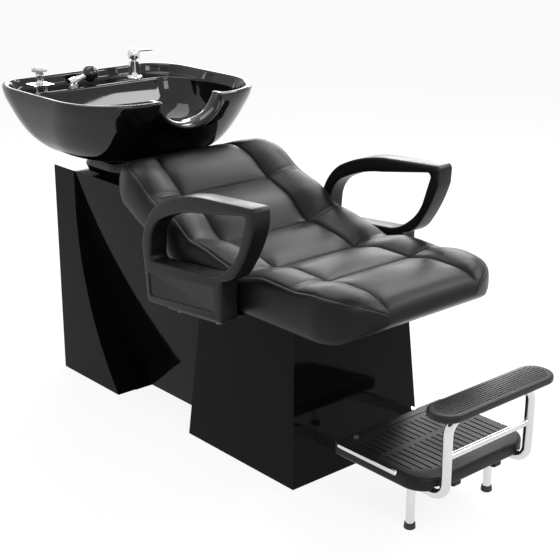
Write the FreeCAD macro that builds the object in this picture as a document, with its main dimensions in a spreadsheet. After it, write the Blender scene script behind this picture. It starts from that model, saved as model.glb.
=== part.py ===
import FreeCAD, Part
import math
import os

import Sketcher
from FreeCAD import Rotation, Vector

# Hair washing bed: a reclined one-piece seat on a tapered pedestal, a ceramic basin that tilts
# on a rear tower, and a footrest with a folding leg rest. Millimetres, degrees, +Z up, the
# basin towards +Y. Drawn from the floor under the pedestal's front edge, then moved as a whole
# so that the origin is on the floor under the middle of the bounding box.

DRIVING_SIZES = {
    # Fits shared by the pieces
    "fit_gap": 0.3,
    "screw_gap": 0.4,
    "cut_overrun": 5,
    # Rear tower
    "tower_width": 431,
    "tower_rear": 985,
    "tower_height": 600,
    "tower_top_depth": 98,
    "tower_flare": 172,
    "flare_drop": 80,
    "shell_wall": 4,
    "deck_hole_radius": 46,
    "pipe_opening_width": 160,
    "pipe_opening_floor": 100,
    "pipe_opening_height": 190,
    "access_width": 250,
    "access_height": 330,
    "access_floor": 120,
    "access_lap": 18,
    "access_thickness": 3,
    "access_screw_depth": 11,
    # Body between the tower and the pedestal
    "middle_inset": 4,
    "middle_foot_width": 209,
    "deck_front": 655,
    "roof_step_drop": 60,
    "roof_front": 402,
    "lap_thickness": 3,
    # Front pedestal
    "pedestal_inset": 5,
    "pedestal_depth": 400,
    "pedestal_drop": 215,
    "pedestal_side_taper": 26,
    "pedestal_end_taper": 29,
    # Steel frame inside the pedestal
    "frame_tube": 30,
    "frame_inset": 35,
    "frame_front": 35,
    "frame_rear": 365,
    "anchor_radius": 5.5,
    "anchor_plate": 60,
    "anchor_plate_thickness": 5,
    # Seat frame and boards
    "seat_plate_inset": 43,
    "seat_plate_front": 45,
    "seat_plate_rear": 355,
    "seat_plate_thickness": 4,
    "seat_tube": 20,
    "seat_frame_inset": 23,
    "seat_frame_front": 30,
    "seat_frame_rear": 372,
    "back_arm_place": 110,
    "back_arm_depth": 25,
    "back_arm_end": 590,
    "bolt_radius": 4,
    "bolt_head_radius": 6.5,
    "bolt_head_height": 6,
    "bolt_inset": 55,
    "board_thickness": 12,
    "board_overhang": 15,
    "seat_board_front": -130,
    "seat_board_rear": 250,
    "back_board_start": 50,
    "back_board_length": 270,
    # Seat cushion, drawn through the rows of its seams
    "cushion_lift": 26,
    "board_drop": 2,
    "cushion_front": -228,
    "cushion_head": 657,
    "cushion_rise": 264,
    "cushion_depth": 108,
    "cushion_overhang": 53,
    "seam_inset": 18,
    "bolster_width": 117,
    "cushion_crown": 14,
    "seam_rise": 25,
    "recline_start": 292,
    "recline_angle": 26,
    # Armrests
    "arm_gap": 9,
    "arm_width": 52,
    "arm_drop": 4,
    "arm_front": 16,
    "arm_length": 416,
    "arm_height": 317,
    "arm_round": 7,
    "arm_panel_depth": 2,
    "arm_bracket_thickness": 5,
    "arm_bracket_front": 146,
    "arm_bracket_rear": 340,
    "arm_bolt_front": 169,
    "arm_bolt_rear": 315,
    "arm_bolt_radius": 4,
    "arm_bolt_head_radius": 7,
    "arm_bolt_head_height": 6,
    "arm_bolt_reach": 22,
    # Basin
    "ledge_half_width": 205,
    "ledge_front": 1084,
    "ledge_rear": 1130,
    "ledge_thickness": 14,
    "ledge_corner": 12,
    "basin_half_width": 300,
    "basin_front": 640,
    "basin_rear": 1180,
    "brim_height": 28,
    "basin_lift": 32,
    "basin_wall": 17,
    "deck_rise": 148,
    "basin_floor_thickness": 22,
    "notch_half_width": 92,
    "notch_depth": 66,
    "lip_depth": 54,
    "lip_thickness": 24,
    "lip_front": 638,
    # Drain
    "drain_place": 822,
    "drain_hole_radius": 24,
    "drain_wall": 2,
    "drain_flange_radius": 36,
    "drain_flange_thickness": 3,
    "drain_spigot_radius": 20,
    "drain_spigot_drop": 55,
    "drain_nut_radius": 33,
    "drain_nut_height": 9,
    "strainer_radius": 27,
    "strainer_dome": 7,
    "strainer_stem_radius": 5,
    # Tilting mount
    "tilt_place": 930,
    "tilt_rise": 14,
    "tilt_plate_thickness": 4,
    "tilt_half_width": 96,
    "tilt_ear_radius": 9,
    "tilt_pin_radius": 5,
    "tilt_front": 775,
    "tilt_rear": 958,
    "tilt_base_front": 894,
    "tilt_ear_thickness": 4,
    "tilt_ear_foot": 18,
    "tilt_screw_across": 62,
    "collar_half_width": 150,
    "collar_front": 755,
    "collar_rear": 978,
    "collar_height": 18,
    "collar_wall": 4,
    "collar_corner": 70,
    "collar_lean": 8,
    # Mixer tap
    "mixer_across": 145,
    "mixer_place": 1108,
    "mixer_flange_radius": 24,
    "mixer_flange_height": 7,
    "mixer_foot_radius": 18,
    "mixer_neck_radius": 15,
    "mixer_body_height": 52,
    "mixer_shank_radius": 8,
    "mixer_shank_length": 34,
    "mixer_nut_radius": 16,
    "mixer_nut_height": 8,
    "cartridge_gap": 6,
    "cartridge_radius": 10,
    "cartridge_height": 20,
    "lever_cap_radius": 18,
    "lever_cap_height": 24,
    "lever_reach": 58,
    "lever_width": 12,
    "lever_thickness": 5,
    "lever_direction": -42,
    "lever_pin_radius": 2,
    "lever_pin_rise": 20,
    "lever_wall": 2,
    # Hand spray
    "spray_across": -4,
    "spray_place": 1112,
    "spray_rise": 28,
    "spray_ball_radius": 24,
    "spray_handle_radius": 7,
    "spray_handle_length": 74,
    "spray_lean": 76,
    "socket_radius": 11,
    "socket_length": 22,
    "socket_foot_radius": 16,
    # Vacuum breaker
    "breaker_across": -182,
    "breaker_place": 1092,
    "breaker_plate_size": 58,
    "breaker_plate_thickness": 4,
    "breaker_plate_rise": 18,
    "breaker_leg_radius": 6,
    "breaker_body_radius": 10,
    "breaker_body_height": 34,
    "breaker_cap_radius": 22,
    "breaker_cap_height": 14,
    # Footrest
    "bar_inset": 53,
    "bar_width": 12,
    "bar_top": 126,
    "bar_height": 25,
    "bar_rear": 65,
    "bar_front": -307,
    "leg_place": -296,
    "leg_radius": 10,
    "foot_radius": 13.5,
    "foot_height": 14,
    "foot_sole": 9,
    "step_overhang": 57,
    "step_rear": -100,
    "step_front": -378,
    "step_top": 157,
    "step_floor": 124,
    "step_wall": 6,
    "step_roof": 8,
    "step_front_corner": 62,
    "step_rear_corner": 12,
    "step_rib_height": 3,
    "step_rib_width": 8,
    "step_rib_pitch": 20,
    "step_rib_inset": 46,
    "strip_height": 10,
    "strip_drop": 1.5,
    "strip_thickness": 3,
    "strip_front": -297,
    "strip_rear": -114,
    "step_screw_place": -122,
    "step_screw_radius": 3,
    "step_screw_head_radius": 6,
    "step_screw_head_height": 3,
    "step_screw_length": 45,
    # Leg rest on its folding arch
    "rest_reach": 11.5,
    "rest_tube_radius": 11,
    "rest_pivot_place": -320,
    "rest_pivot_height": 118,
    "rest_place": -398,
    "rest_low_bend": 33,
    "rest_top_bend": 34,
    "rest_pad_overhang": 49.5,
    "rest_pad_front": -440,
    "rest_pad_rear": -355,
    "rest_pad_top": 330,
    "rest_pad_thickness": 18,
    "rest_pad_corner": 41,
    "rest_groove_width": 2.4,
    "rest_groove_depth": 1.6,
    "rest_groove_pitch": 5.6,
    "rest_plate_half_width": 100,
    "rest_plate_depth": 44,
    "rest_plate_thickness": 3,
    "rest_screw_across": 82,
    "rest_screw_radius": 2.5,
    "rest_screw_head_radius": 5,
    "rest_screw_head_height": 2.5,
    "rest_screw_length": 12,
    "crossbar_height": 213,
    "crossbar_radius": 7.5,
    "rest_pin_radius": 5,
    "rest_pin_head_radius": 8,
    "rest_pin_head": 3,
    "rest_ear_thickness": 4.5,
    "rest_ear_depth": 26,
    "rest_ear_rear": -285,
}

# Sizes that follow from the ones above, as formulas in the same sheet
FOLLOWING_SIZES = {
    "flare_height": "=tower_height - flare_drop",
    "middle_top_width": "=tower_width - middle_inset",
    "roof_step_height": "=tower_height - roof_step_drop",
    "pedestal_width": "=tower_width - pedestal_inset",
    "pedestal_height": "=tower_height - pedestal_drop",
    "frame_half_width": "=pedestal_width / 2 - frame_inset",
    "seat_plate_half_width": "=pedestal_width / 2 - seat_plate_inset",
    "seat_frame_half_width": "=pedestal_width / 2 - seat_frame_inset",
    "board_half_width": "=seat_frame_half_width + board_overhang",
    "cushion_floor": "=pedestal_height + cushion_lift",
    "cushion_half_width": "=board_half_width + cushion_overhang",
    "seam_half_width": "=cushion_half_width - seam_inset",
    "inner_seam_half_width": "=cushion_half_width - bolster_width",
    "arm_floor": "=pedestal_height - arm_drop",
    "arm_inner": "=cushion_half_width + arm_gap",
    "basin_foot_height": "=tower_height + basin_lift",
    "basin_floor": "=basin_foot_height + basin_floor_thickness",
    "basin_deck_height": "=basin_foot_height + deck_rise",
    "basin_rim_height": "=basin_deck_height + brim_height",
    "tilt_height": "=tower_height + tilt_rise",
    "drain_tail_end": "=tower_height - drain_spigot_drop",
    "lever_pin_height": "=basin_deck_height + mixer_body_height + lever_pin_rise",
    "spray_height": "=basin_deck_height + spray_rise",
    "breaker_plate_height": "=basin_deck_height + breaker_plate_rise",
    "bar_inner": "=frame_half_width - bar_inset",
    "leg_across": "=bar_inner + bar_width / 2",
    "step_half_width": "=bar_inner + step_overhang",
    "rest_across": "=bar_inner + rest_reach",
    "rest_pad_half_width": "=rest_across + rest_pad_overhang",
}


doc = FreeCAD.newDocument("HairWashingBed")
sheet = doc.addObject("Spreadsheet::Sheet", "Sizes")
for row, (alias, amount) in enumerate([*DRIVING_SIZES.items(), *FOLLOWING_SIZES.items()], 1):
    sheet.set(f"A{row}", alias)
    sheet.set(f"B{row}", str(amount))
    sheet.setAlias(f"B{row}", alias)
doc.recompute()


class Size:
    """A size with its number and the sheet formula that gives it."""

    def __init__(self, number, formula):
        self.number = float(number)
        self.formula = formula

    def __float__(self):
        return self.number

    def __add__(self, other):
        return Size(self.number + float(other), f"({self.formula} + {formula_of(other)})")

    def __radd__(self, other):
        return Size(float(other) + self.number, f"({formula_of(other)} + {self.formula})")

    def __sub__(self, other):
        return Size(self.number - float(other), f"({self.formula} - {formula_of(other)})")

    def __rsub__(self, other):
        return Size(float(other) - self.number, f"({formula_of(other)} - {self.formula})")

    def __mul__(self, other):
        return Size(self.number * float(other), f"({self.formula} * {formula_of(other)})")

    def __rmul__(self, other):
        return Size(float(other) * self.number, f"({formula_of(other)} * {self.formula})")

    def __truediv__(self, other):
        return Size(self.number / float(other), f"({self.formula} / {formula_of(other)})")

    def __neg__(self):
        return Size(-self.number, f"(0 - {self.formula})")


def formula_of(value):
    return value.formula if isinstance(value, Size) else repr(float(value))


def sine(angle):
    return Size(math.sin(math.radians(float(angle))), f"sin({formula_of(angle)})")


def cosine(angle):
    return Size(math.cos(math.radians(float(angle))), f"cos({formula_of(angle)})")


class SizeTable:
    """Gives each sheet cell as a Size under its alias."""

    def __getattr__(self, alias):
        return Size(sheet.get(alias), f"Sizes.{alias}")


s = SizeTable()
frame_shift = -(s.basin_rear + s.rest_pad_front) / 2


def vec(x, y, z=0):
    return Vector(float(x), float(y), float(z))


def bind(feature, path, size):
    """Set a length of a feature and tie it to the sheet."""
    setattr(feature, path, float(size))
    if isinstance(size, Size):
        feature.setExpression(path, size.formula)


def bind_place(feature, x, y, z, path="Placement"):
    turned = getattr(feature, path)
    turned.Base = vec(x, y, z)
    setattr(feature, path, turned)
    for letter, size in zip("xyz", (x, y, z)):
        if isinstance(size, Size):
            feature.setExpression(f"{path}.Base.{letter}", size.formula)


# Sketches and the features made from them

def new_body(name):
    return doc.addObject("PartDesign::Body", name)


def new_sketch(body, name, plane, offset=0):
    """A sketch on one of the body's own origin planes, moved along the plane's normal."""
    sketch = body.newObject("Sketcher::SketchObject", name)
    support = [f for f in body.Origin.OriginFeatures if f.Role == plane][0]
    sketch.AttachmentSupport = [(support, "")]
    sketch.MapMode = "FlatFace"
    bind_place(sketch, 0, 0, offset, "AttachmentOffset")
    return sketch


def arc_between(start, end, radius):
    """The short arc from start to end, with its centre on the left for a positive radius."""
    chord = end - start
    left = Vector(-chord.y, chord.x, 0).normalize()
    rise = math.sqrt(radius * radius - chord.Length ** 2 / 4)
    centre = (start + end) / 2 + left * math.copysign(rise, radius)
    first, second = (start, end) if radius > 0 else (end, start)
    from_angle = math.atan2(first.y - centre.y, first.x - centre.x)
    to_angle = math.atan2(second.y - centre.y, second.x - centre.x)
    circle = Part.Circle(centre, Vector(0, 0, 1), abs(radius))
    return Part.ArcOfCircle(circle, from_angle, to_angle)


def constrain(sketch, kind, *values, size=None):
    if size is None:
        sketch.addConstraint(Sketcher.Constraint(kind, *values))
        return
    index = sketch.addConstraint(Sketcher.Constraint(kind, *values, float(size)))
    if isinstance(size, Size):
        sketch.setExpression(f"Constraints[{index}]", size.formula)


def outline(sketch, points):
    """A closed loop; a third value at a point is the radius of the arc to the next point."""
    first = sketch.GeometryCount
    count = len(points)
    starts = []
    ends = []
    for index, point in enumerate(points):
        here = vec(point[0], point[1])
        there = vec(points[(index + 1) % count][0], points[(index + 1) % count][1])
        if len(point) == 3:
            sketch.addGeometry(arc_between(here, there, float(point[2])))
            starts.append(1 if float(point[2]) > 0 else 2)
        else:
            sketch.addGeometry(Part.LineSegment(here, there))
            starts.append(1)
        ends.append(3 - starts[-1])
    for index, point in enumerate(points):
        edge = first + index
        after = (index + 1) % count
        constrain(sketch, "Coincident", edge, ends[index], first + after, starts[after])
        constrain(sketch, "DistanceX", -1, 1, edge, starts[index], size=point[0])
        constrain(sketch, "DistanceY", -1, 1, edge, starts[index], size=point[1])
        if len(point) == 3:
            radius = point[2] if float(point[2]) > 0 else -point[2]
            constrain(sketch, "Radius", edge, size=radius)


def rectangle(sketch, left, right, low, high):
    outline(sketch, [(left, low), (right, low), (right, high), (left, high)])


def rounded(sketch, left, right, low, high, low_round, high_round):
    """A rectangle whose lower and upper corners have their own radii."""
    outline(sketch, [
        (left + low_round, low),
        (right - low_round, low, low_round),
        (right, low + low_round),
        (right, high - high_round, high_round),
        (right - high_round, high),
        (left + high_round, high, high_round),
        (left, high - high_round),
        (left, low + low_round, low_round),
    ])


def circle(sketch, x, y, radius):
    edge = sketch.GeometryCount
    sketch.addGeometry(Part.Circle(vec(x, y), Vector(0, 0, 1), float(radius)))
    constrain(sketch, "DistanceX", -1, 1, edge, 3, size=x)
    constrain(sketch, "DistanceY", -1, 1, edge, 3, size=y)
    constrain(sketch, "Radius", edge, size=radius)


def pad(body, sketch, length, symmetric=False, backwards=False):
    feature = body.newObject("PartDesign::Pad", f"{sketch.Name}_pad")
    feature.Profile = sketch
    feature.SideType = "Symmetric" if symmetric else "One side"
    feature.Reversed = backwards
    bind(feature, "Length", length)
    return feature


def pocket(body, sketch, length, symmetric=False, backwards=False):
    """Cut a profile and check that the cut really took something away."""
    doc.recompute()
    before = body.Shape.Volume
    feature = body.newObject("PartDesign::Pocket", f"{sketch.Name}_pocket")
    feature.Profile = sketch
    feature.SideType = "Symmetric" if symmetric else "One side"
    feature.Reversed = backwards
    bind(feature, "Length", length)
    doc.recompute()
    if body.Shape.Volume >= before:
        raise RuntimeError(f"{sketch.Name} cuts nothing")
    return feature


def spin(body, sketch, cutting=False):
    """Turn a profile round its own vertical axis."""
    kind = "PartDesign::Groove" if cutting else "PartDesign::Revolution"
    feature = body.newObject(kind, f"{sketch.Name}_turn")
    feature.Profile = sketch
    feature.ReferenceAxis = (sketch, ["V_Axis"])
    feature.Angle = 360
    return feature


def loft(body, low_sketch, high_sketch, cutting=False):
    kind = "PartDesign::SubtractiveLoft" if cutting else "PartDesign::AdditiveLoft"
    feature = body.newObject(kind, f"{low_sketch.Name}_loft")
    feature.Profile = low_sketch
    feature.Sections = [high_sketch]
    feature.Ruled = True
    return feature


def repeat(body, feature, direction, length, count):
    """Copies of a feature in a row, evenly spaced along a sketch axis."""
    row = body.newObject("PartDesign::LinearPattern", f"{feature.Name}_row")
    row.Originals = [feature]
    row.Direction = (feature.Profile[0], [direction])
    bind(row, "Length", length)
    row.Occurrences = count
    body.Tip = row
    return row


# Primitives and booleans

def box(name, left, right, front, rear, low, high):
    solid = doc.addObject("Part::Box", name)
    bind(solid, "Length", right - left)
    bind(solid, "Width", rear - front)
    bind(solid, "Height", high - low)
    bind_place(solid, left, front, low)
    return solid


def cylinder(name, radius, height, x, y, z, turn=None):
    solid = doc.addObject("Part::Cylinder", name)
    bind(solid, "Radius", radius)
    bind(solid, "Height", height)
    if turn is not None:
        solid.Placement = FreeCAD.Placement(Vector(), turn)
    bind_place(solid, x, y, z)
    return solid


def cut(name, base, tool):
    result = doc.addObject("Part::Cut", name)
    result.Base = base
    result.Tool = tool
    return result


def fuse(name, pieces):
    result = doc.addObject("Part::MultiFuse", name)
    result.Shapes = pieces
    return result


def common(name, pieces):
    result = doc.addObject("Part::MultiCommon", name)
    result.Shapes = pieces
    return result


def group(name, pieces):
    result = doc.addObject("Part::Compound", name)
    result.Links = pieces
    return result


def form(name, shape):
    """A piece whose shape comes from surfaces that no feature above makes."""
    result = doc.addObject("Part::Feature", name)
    moved = shape.Placement.toMatrix()
    shape.Placement = FreeCAD.Placement()
    result.Shape = shape.transformed(moved, copy=True)
    return result


ALONG_X = Rotation(Vector(0, 1, 0), 90)
TOWARDS_REAR = Rotation(Vector(1, 0, 0), -90)
nodes = []


def node(name, piece, x=0, y=0, z=0):
    """Name a finished sub-part and put it in the object's frame."""
    piece.Label = name
    bind_place(piece, x, y + frame_shift, z)
    nodes.append(piece)
    return piece


# Rear tower: a hollow shell whose front sweeps forward to the floor

flare_radius = (s.tower_flare * s.tower_flare + s.flare_height * s.flare_height) / (2 * s.tower_flare)
tower_front = s.tower_rear - s.tower_top_depth


def tower_profile(inset, below):
    """The side outline moved in by a wall, carried below the floor by an overrun."""
    toe = tower_front + inset - s.tower_flare
    return [
        (toe, 0 - below),
        (s.tower_rear - inset, 0 - below),
        (s.tower_rear - inset, s.tower_height - inset),
        (tower_front + inset, s.tower_height - inset),
        (tower_front + inset, s.flare_height, -flare_radius),
        (toe, 0),
    ]


def access_screw_places():
    across = s.access_width / 2 + s.access_lap / 2
    middle = s.access_floor + s.access_height / 2
    up = s.access_height / 2 + s.access_lap / 2
    return [(side * across, middle + end * up) for side in (-1, 1) for end in (-1, 1)]


def rear_tower():
    body = new_body("tower_body")
    side = new_sketch(body, "tower_side", "YZ_Plane")
    outline(side, tower_profile(0 * s.shell_wall, 0 * s.shell_wall)[1:])
    pad(body, side, s.tower_width, symmetric=True)
    hollow = new_sketch(body, "tower_hollow", "YZ_Plane")
    outline(hollow, tower_profile(s.shell_wall, s.cut_overrun))
    pocket(body, hollow, s.tower_width - 2 * s.shell_wall, symmetric=True)
    inside_rear = s.tower_rear - s.shell_wall - s.cut_overrun
    pipes = new_sketch(body, "tower_pipes", "XZ_Plane", -inside_rear)
    rectangle(pipes, -s.pipe_opening_width / 2, s.pipe_opening_width / 2,
              s.pipe_opening_floor, s.pipe_opening_floor + s.pipe_opening_height)
    pocket(body, pipes, s.tower_top_depth + s.tower_flare, backwards=True)
    fixings = new_sketch(body, "tower_tilt_holes", "XY_Plane", s.tower_height + s.cut_overrun)
    for x, y in tilt_screw_places():
        circle(fixings, x, y, s.bolt_radius + s.screw_gap)
    pocket(body, fixings, s.shell_wall + 2 * s.cut_overrun)
    opening = new_sketch(body, "tower_access", "XZ_Plane", -inside_rear)
    rectangle(opening, -s.access_width / 2, s.access_width / 2,
              s.access_floor, s.access_floor + s.access_height)
    pocket(body, opening, s.shell_wall + 2 * s.cut_overrun)
    holes = new_sketch(body, "tower_access_holes", "XZ_Plane", -inside_rear)
    for x, z in access_screw_places():
        circle(holes, x, z, s.step_screw_radius + s.screw_gap)
    pocket(body, holes, s.shell_wall + 2 * s.cut_overrun)
    return body


def access_panel():
    body = new_body("access_panel_body")
    plate = new_sketch(body, "access_plate", "XZ_Plane", -s.tower_rear)
    across = s.access_width / 2 + s.access_lap
    rounded(plate, -across, across, s.access_floor - s.access_lap,
            s.access_floor + s.access_height + s.access_lap, s.access_lap / 2, s.access_lap / 2)
    pad(body, plate, s.access_thickness, backwards=True)
    holes = new_sketch(body, "access_plate_holes", "XZ_Plane", -(s.tower_rear - s.cut_overrun))
    for x, z in access_screw_places():
        circle(holes, x, z, s.step_screw_radius + s.screw_gap)
    pocket(body, holes, s.access_thickness + 2 * s.cut_overrun)
    return body


def access_screws():
    pieces = []
    face = s.tower_rear + s.access_thickness
    for number, (x, z) in enumerate(access_screw_places()):
        shank = cylinder(f"access_shank_{number}", s.step_screw_radius,
                         s.access_screw_depth + s.step_screw_head_height,
                         x, face - s.access_screw_depth, z, TOWARDS_REAR)
        head = cylinder(f"access_head_{number}", s.step_screw_head_radius,
                        s.step_screw_head_height, x, face, z, TOWARDS_REAR)
        pieces.append(fuse(f"access_screw_{number}", [shank, head]))
    return group("access_screw_set", pieces)


# Body between the tower and the pedestal: inclined sides, a flat deck and a sloping roof

def middle_side(name, inset):
    """The side outline swept across the whole width."""
    body = new_body(name)
    side = new_sketch(body, f"{name}_outline", "YZ_Plane")
    below = s.cut_overrun if float(inset) else 0
    outline(side, [
        (s.pedestal_depth / 2, 0 - below),
        (s.tower_rear, 0 - below),
        (s.tower_rear, s.tower_height - inset),
        (s.deck_front + inset, s.tower_height - inset),
        (s.deck_front + inset, s.roof_step_height - inset),
        (s.roof_front, s.pedestal_height - inset),
        (s.pedestal_depth / 2, s.pedestal_height - inset),
    ])
    pad(body, side, s.tower_width, symmetric=True)
    return body


def middle_front(name, inset):
    """The front outline, wider at the deck than at the floor, swept along the object."""
    body = new_body(name)
    front = new_sketch(body, f"{name}_outline", "XZ_Plane", -s.tower_rear)
    foot = s.middle_foot_width / 2 - inset
    head = s.middle_top_width / 2 - inset
    lean = (s.middle_top_width - s.middle_foot_width) / 2 / s.tower_height
    low = 0 - s.cut_overrun
    reach = foot - lean * s.cut_overrun
    outline(front, [(-reach, low), (reach, low), (head, s.tower_height), (-head, s.tower_height)])
    pad(body, front, s.tower_rear)
    return body


def tower_space(name, back_off):
    """Everything behind the tower's front surface, or a band in front of it."""
    body = new_body(name)
    side = new_sketch(body, f"{name}_outline", "YZ_Plane")
    toe = tower_front - s.tower_flare - back_off
    top = s.tower_height + s.cut_overrun
    far = s.tower_rear + s.cut_overrun
    below = 0 - s.cut_overrun
    outline(side, [
        (toe, below),
        (far, below),
        (far, top),
        (tower_front - back_off, top),
        (tower_front - back_off, s.flare_height, -flare_radius),
        (toe, 0),
    ])
    pad(body, side, s.tower_width + 2 * s.cut_overrun, symmetric=True)
    return body


def lap_front():
    """The front outline of the lap that lies on the tower beside the body."""
    body = new_body("lap_front")
    front = new_sketch(body, "lap_front_outline", "XZ_Plane", -s.tower_rear)
    foot = (s.middle_foot_width + s.tower_width) / 4
    head = (s.middle_top_width + s.tower_width) / 4
    outline(front, [(-foot, 0), (foot, 0), (head, s.tower_height), (-head, s.tower_height)])
    pad(body, front, s.tower_rear)
    return body


def middle_body():
    outer = common("middle_solid", [
        middle_side("middle_side", 0 * s.shell_wall),
        middle_front("middle_front", 0 * s.shell_wall),
    ])
    inner = common("middle_hollow", [
        middle_side("middle_hollow_side", s.shell_wall),
        middle_front("middle_hollow_front", s.shell_wall),
    ])
    lap = cut("lap_band", tower_space("lap_space", s.lap_thickness), inner)
    lap = common("lap_plate", [lap, lap_front()])
    walls = fuse("middle_walls", [cut("middle_shell", outer, inner), lap])
    behind = cut("middle_to_tower", walls, tower_space("tower_space", 0 * s.lap_thickness))
    above_floor = box("above_floor", -s.tower_width / 2, s.tower_width / 2,
                      0, s.tower_rear, 0, s.tower_height)
    standing = common("middle_standing", [behind, above_floor])
    drained = cut("middle_drained", standing,
                  cylinder("deck_hole", s.deck_hole_radius, s.shell_wall + 2 * s.cut_overrun,
                           0, s.drain_place, s.tower_height - s.shell_wall - s.cut_overrun))
    return cut("middle_body_cut", drained, pedestal_solid("pedestal_space", 0 * s.shell_wall))


# Front pedestal: a tapered shell, open below, with slots for the footrest bars

def pedestal_solid(name, inset, cutting_body=None):
    """The tapered block, or the hollow inside it when a wall is taken off."""
    body = cutting_body or new_body(name)
    hollow = cutting_body is not None
    low = new_sketch(body, f"{name}_low", "XY_Plane")
    high = new_sketch(body, f"{name}_high", "XY_Plane", s.pedestal_height - inset)
    left = s.pedestal_width / 2 - inset
    rectangle(low, -left, left, 0 + inset, s.pedestal_depth - inset)
    rectangle(high, -(left - s.pedestal_side_taper), left - s.pedestal_side_taper,
              inset + s.pedestal_end_taper, s.pedestal_depth - inset - s.pedestal_end_taper)
    loft(body, low, high, cutting=hollow)
    return body


def front_pedestal():
    body = pedestal_solid("pedestal", 0 * s.shell_wall)
    doc.recompute()
    pedestal_solid("pedestal_inside", s.shell_wall, body)
    slots = new_sketch(body, "bar_slots", "XZ_Plane", s.cut_overrun)
    for side in (-1, 1):
        middle = side * (s.bar_inner + s.bar_width / 2)
        reach = s.bar_width / 2 + s.screw_gap
        rectangle(slots, middle - reach, middle + reach,
                  s.bar_top - s.bar_height - s.screw_gap, s.bar_top + s.screw_gap)
    pocket(body, slots, s.pedestal_end_taper + s.cut_overrun)
    holes = new_sketch(body, "pedestal_bolt_holes", "XY_Plane", s.pedestal_height + s.cut_overrun)
    for x, y in seat_bolt_places():
        circle(holes, x, y, s.bolt_radius + s.screw_gap)
    pocket(body, holes, s.shell_wall + 2 * s.cut_overrun)
    return body


# Steel frame inside the pedestal, anchored to the floor

def seat_bolt_places():
    across = s.frame_half_width - s.frame_tube / 2
    front = s.frame_front + s.bolt_inset
    rear = s.frame_rear - s.bolt_inset
    return [(side * across, y) for side in (-1, 1) for y in (front, rear)]


def anchor_places():
    across = s.frame_half_width - s.frame_tube - s.anchor_plate / 2
    front = s.frame_front + s.frame_tube + s.anchor_plate / 2
    rear = s.frame_rear - s.frame_tube - s.anchor_plate / 2
    return [(side * across, y) for side in (-1, 1) for y in (front, rear)]


def pedestal_frame():
    top = s.pedestal_height - s.shell_wall
    wide = s.frame_half_width
    tube = s.frame_tube
    pieces = []
    for side, x in (("left", -wide), ("right", wide - tube)):
        for end, y in (("front", s.frame_front), ("rear", s.frame_rear - tube)):
            pieces.append(box(f"upright_{side}_{end}", x, x + tube, y, y + tube, 0, top))
        for level, z in (("low", 0 * tube), ("high", top - tube)):
            pieces.append(box(f"rail_{side}_{level}", x, x + tube, s.frame_front, s.frame_rear,
                              z, z + tube))
    for end, y in (("front", s.frame_front), ("rear", s.frame_rear - tube)):
        for level, z in (("low", 0 * tube), ("high", top - tube)):
            pieces.append(box(f"cross_{end}_{level}", -wide, wide, y, y + tube, z, z + tube))
    shelf = s.bar_top - s.bar_height
    pieces.append(box("bar_shelf", -wide, wide, s.frame_front, s.frame_front + tube,
                      shelf - tube, shelf))
    for number, (x, y) in enumerate(anchor_places()):
        half = s.anchor_plate / 2
        pieces.append(box(f"anchor_plate_{number}", x - half, x + half, y - half, y + half,
                          0, s.anchor_plate_thickness))
    frame = fuse("pedestal_frame_solid", pieces)
    holes = [cylinder(f"anchor_hole_{number}", s.anchor_radius,
                      s.anchor_plate_thickness + 2 * s.cut_overrun, x, y, 0 - s.cut_overrun)
             for number, (x, y) in enumerate(anchor_places())]
    holes += [cylinder(f"frame_bolt_hole_{number}", s.bolt_radius + s.screw_gap,
                       tube + 2 * s.cut_overrun, x, y, top - tube - s.cut_overrun)
              for number, (x, y) in enumerate(seat_bolt_places())]
    return cut("pedestal_frame_cut", frame, group("pedestal_frame_holes", holes))


# Seat plate, bolts and the welded tube frame that carries the seat and its back

def seat_plate():
    body = new_body("seat_plate_body")
    plan = new_sketch(body, "seat_plate_plan", "XY_Plane", s.pedestal_height)
    rounded(plan, -s.seat_plate_half_width, s.seat_plate_half_width,
            s.seat_plate_front, s.seat_plate_rear, s.seat_tube / 2, s.seat_tube / 2)
    pad(body, plan, s.seat_plate_thickness)
    holes = new_sketch(body, "seat_plate_holes", "XY_Plane", s.pedestal_height + s.cut_overrun
                       + s.seat_plate_thickness)
    for x, y in seat_bolt_places():
        circle(holes, x, y, s.bolt_radius + s.screw_gap)
    pocket(body, holes, s.seat_plate_thickness + 2 * s.cut_overrun)
    return body


def seat_bolts():
    top = s.pedestal_height + s.seat_plate_thickness
    length = s.seat_plate_thickness + s.shell_wall + s.frame_tube + s.bolt_head_height
    pieces = []
    for number, (x, y) in enumerate(seat_bolt_places()):
        shank = cylinder(f"seat_shank_{number}", s.bolt_radius, length, x, y, top - length)
        head = cylinder(f"seat_head_{number}", s.bolt_head_radius, s.bolt_head_height, x, y, top)
        pieces.append(fuse(f"seat_bolt_{number}", [shank, head]))
    return group("seat_bolt_set", pieces)


recline_slope = sine(s.recline_angle) / cosine(s.recline_angle)


def underside_height(y, drop):
    """Height of the reclined underside at y, lowered square to its slope."""
    return s.cushion_floor + (y - s.recline_start) * recline_slope - drop / cosine(s.recline_angle)


def back_arm(name, left):
    body = new_body(name)
    side = new_sketch(body, f"{name}_outline", "YZ_Plane", left)
    low = s.pedestal_height + s.seat_plate_thickness
    rear = s.back_arm_end
    foot = s.seat_frame_rear - 2 * s.seat_tube
    outline(side, [
        (foot, low),
        (s.seat_frame_rear, low),
        (rear, underside_height(rear, s.back_arm_depth)),
        (rear, underside_height(rear, s.board_drop)),
        (foot, underside_height(foot, s.board_drop)),
    ])
    pad(body, side, s.seat_tube)
    return body


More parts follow.
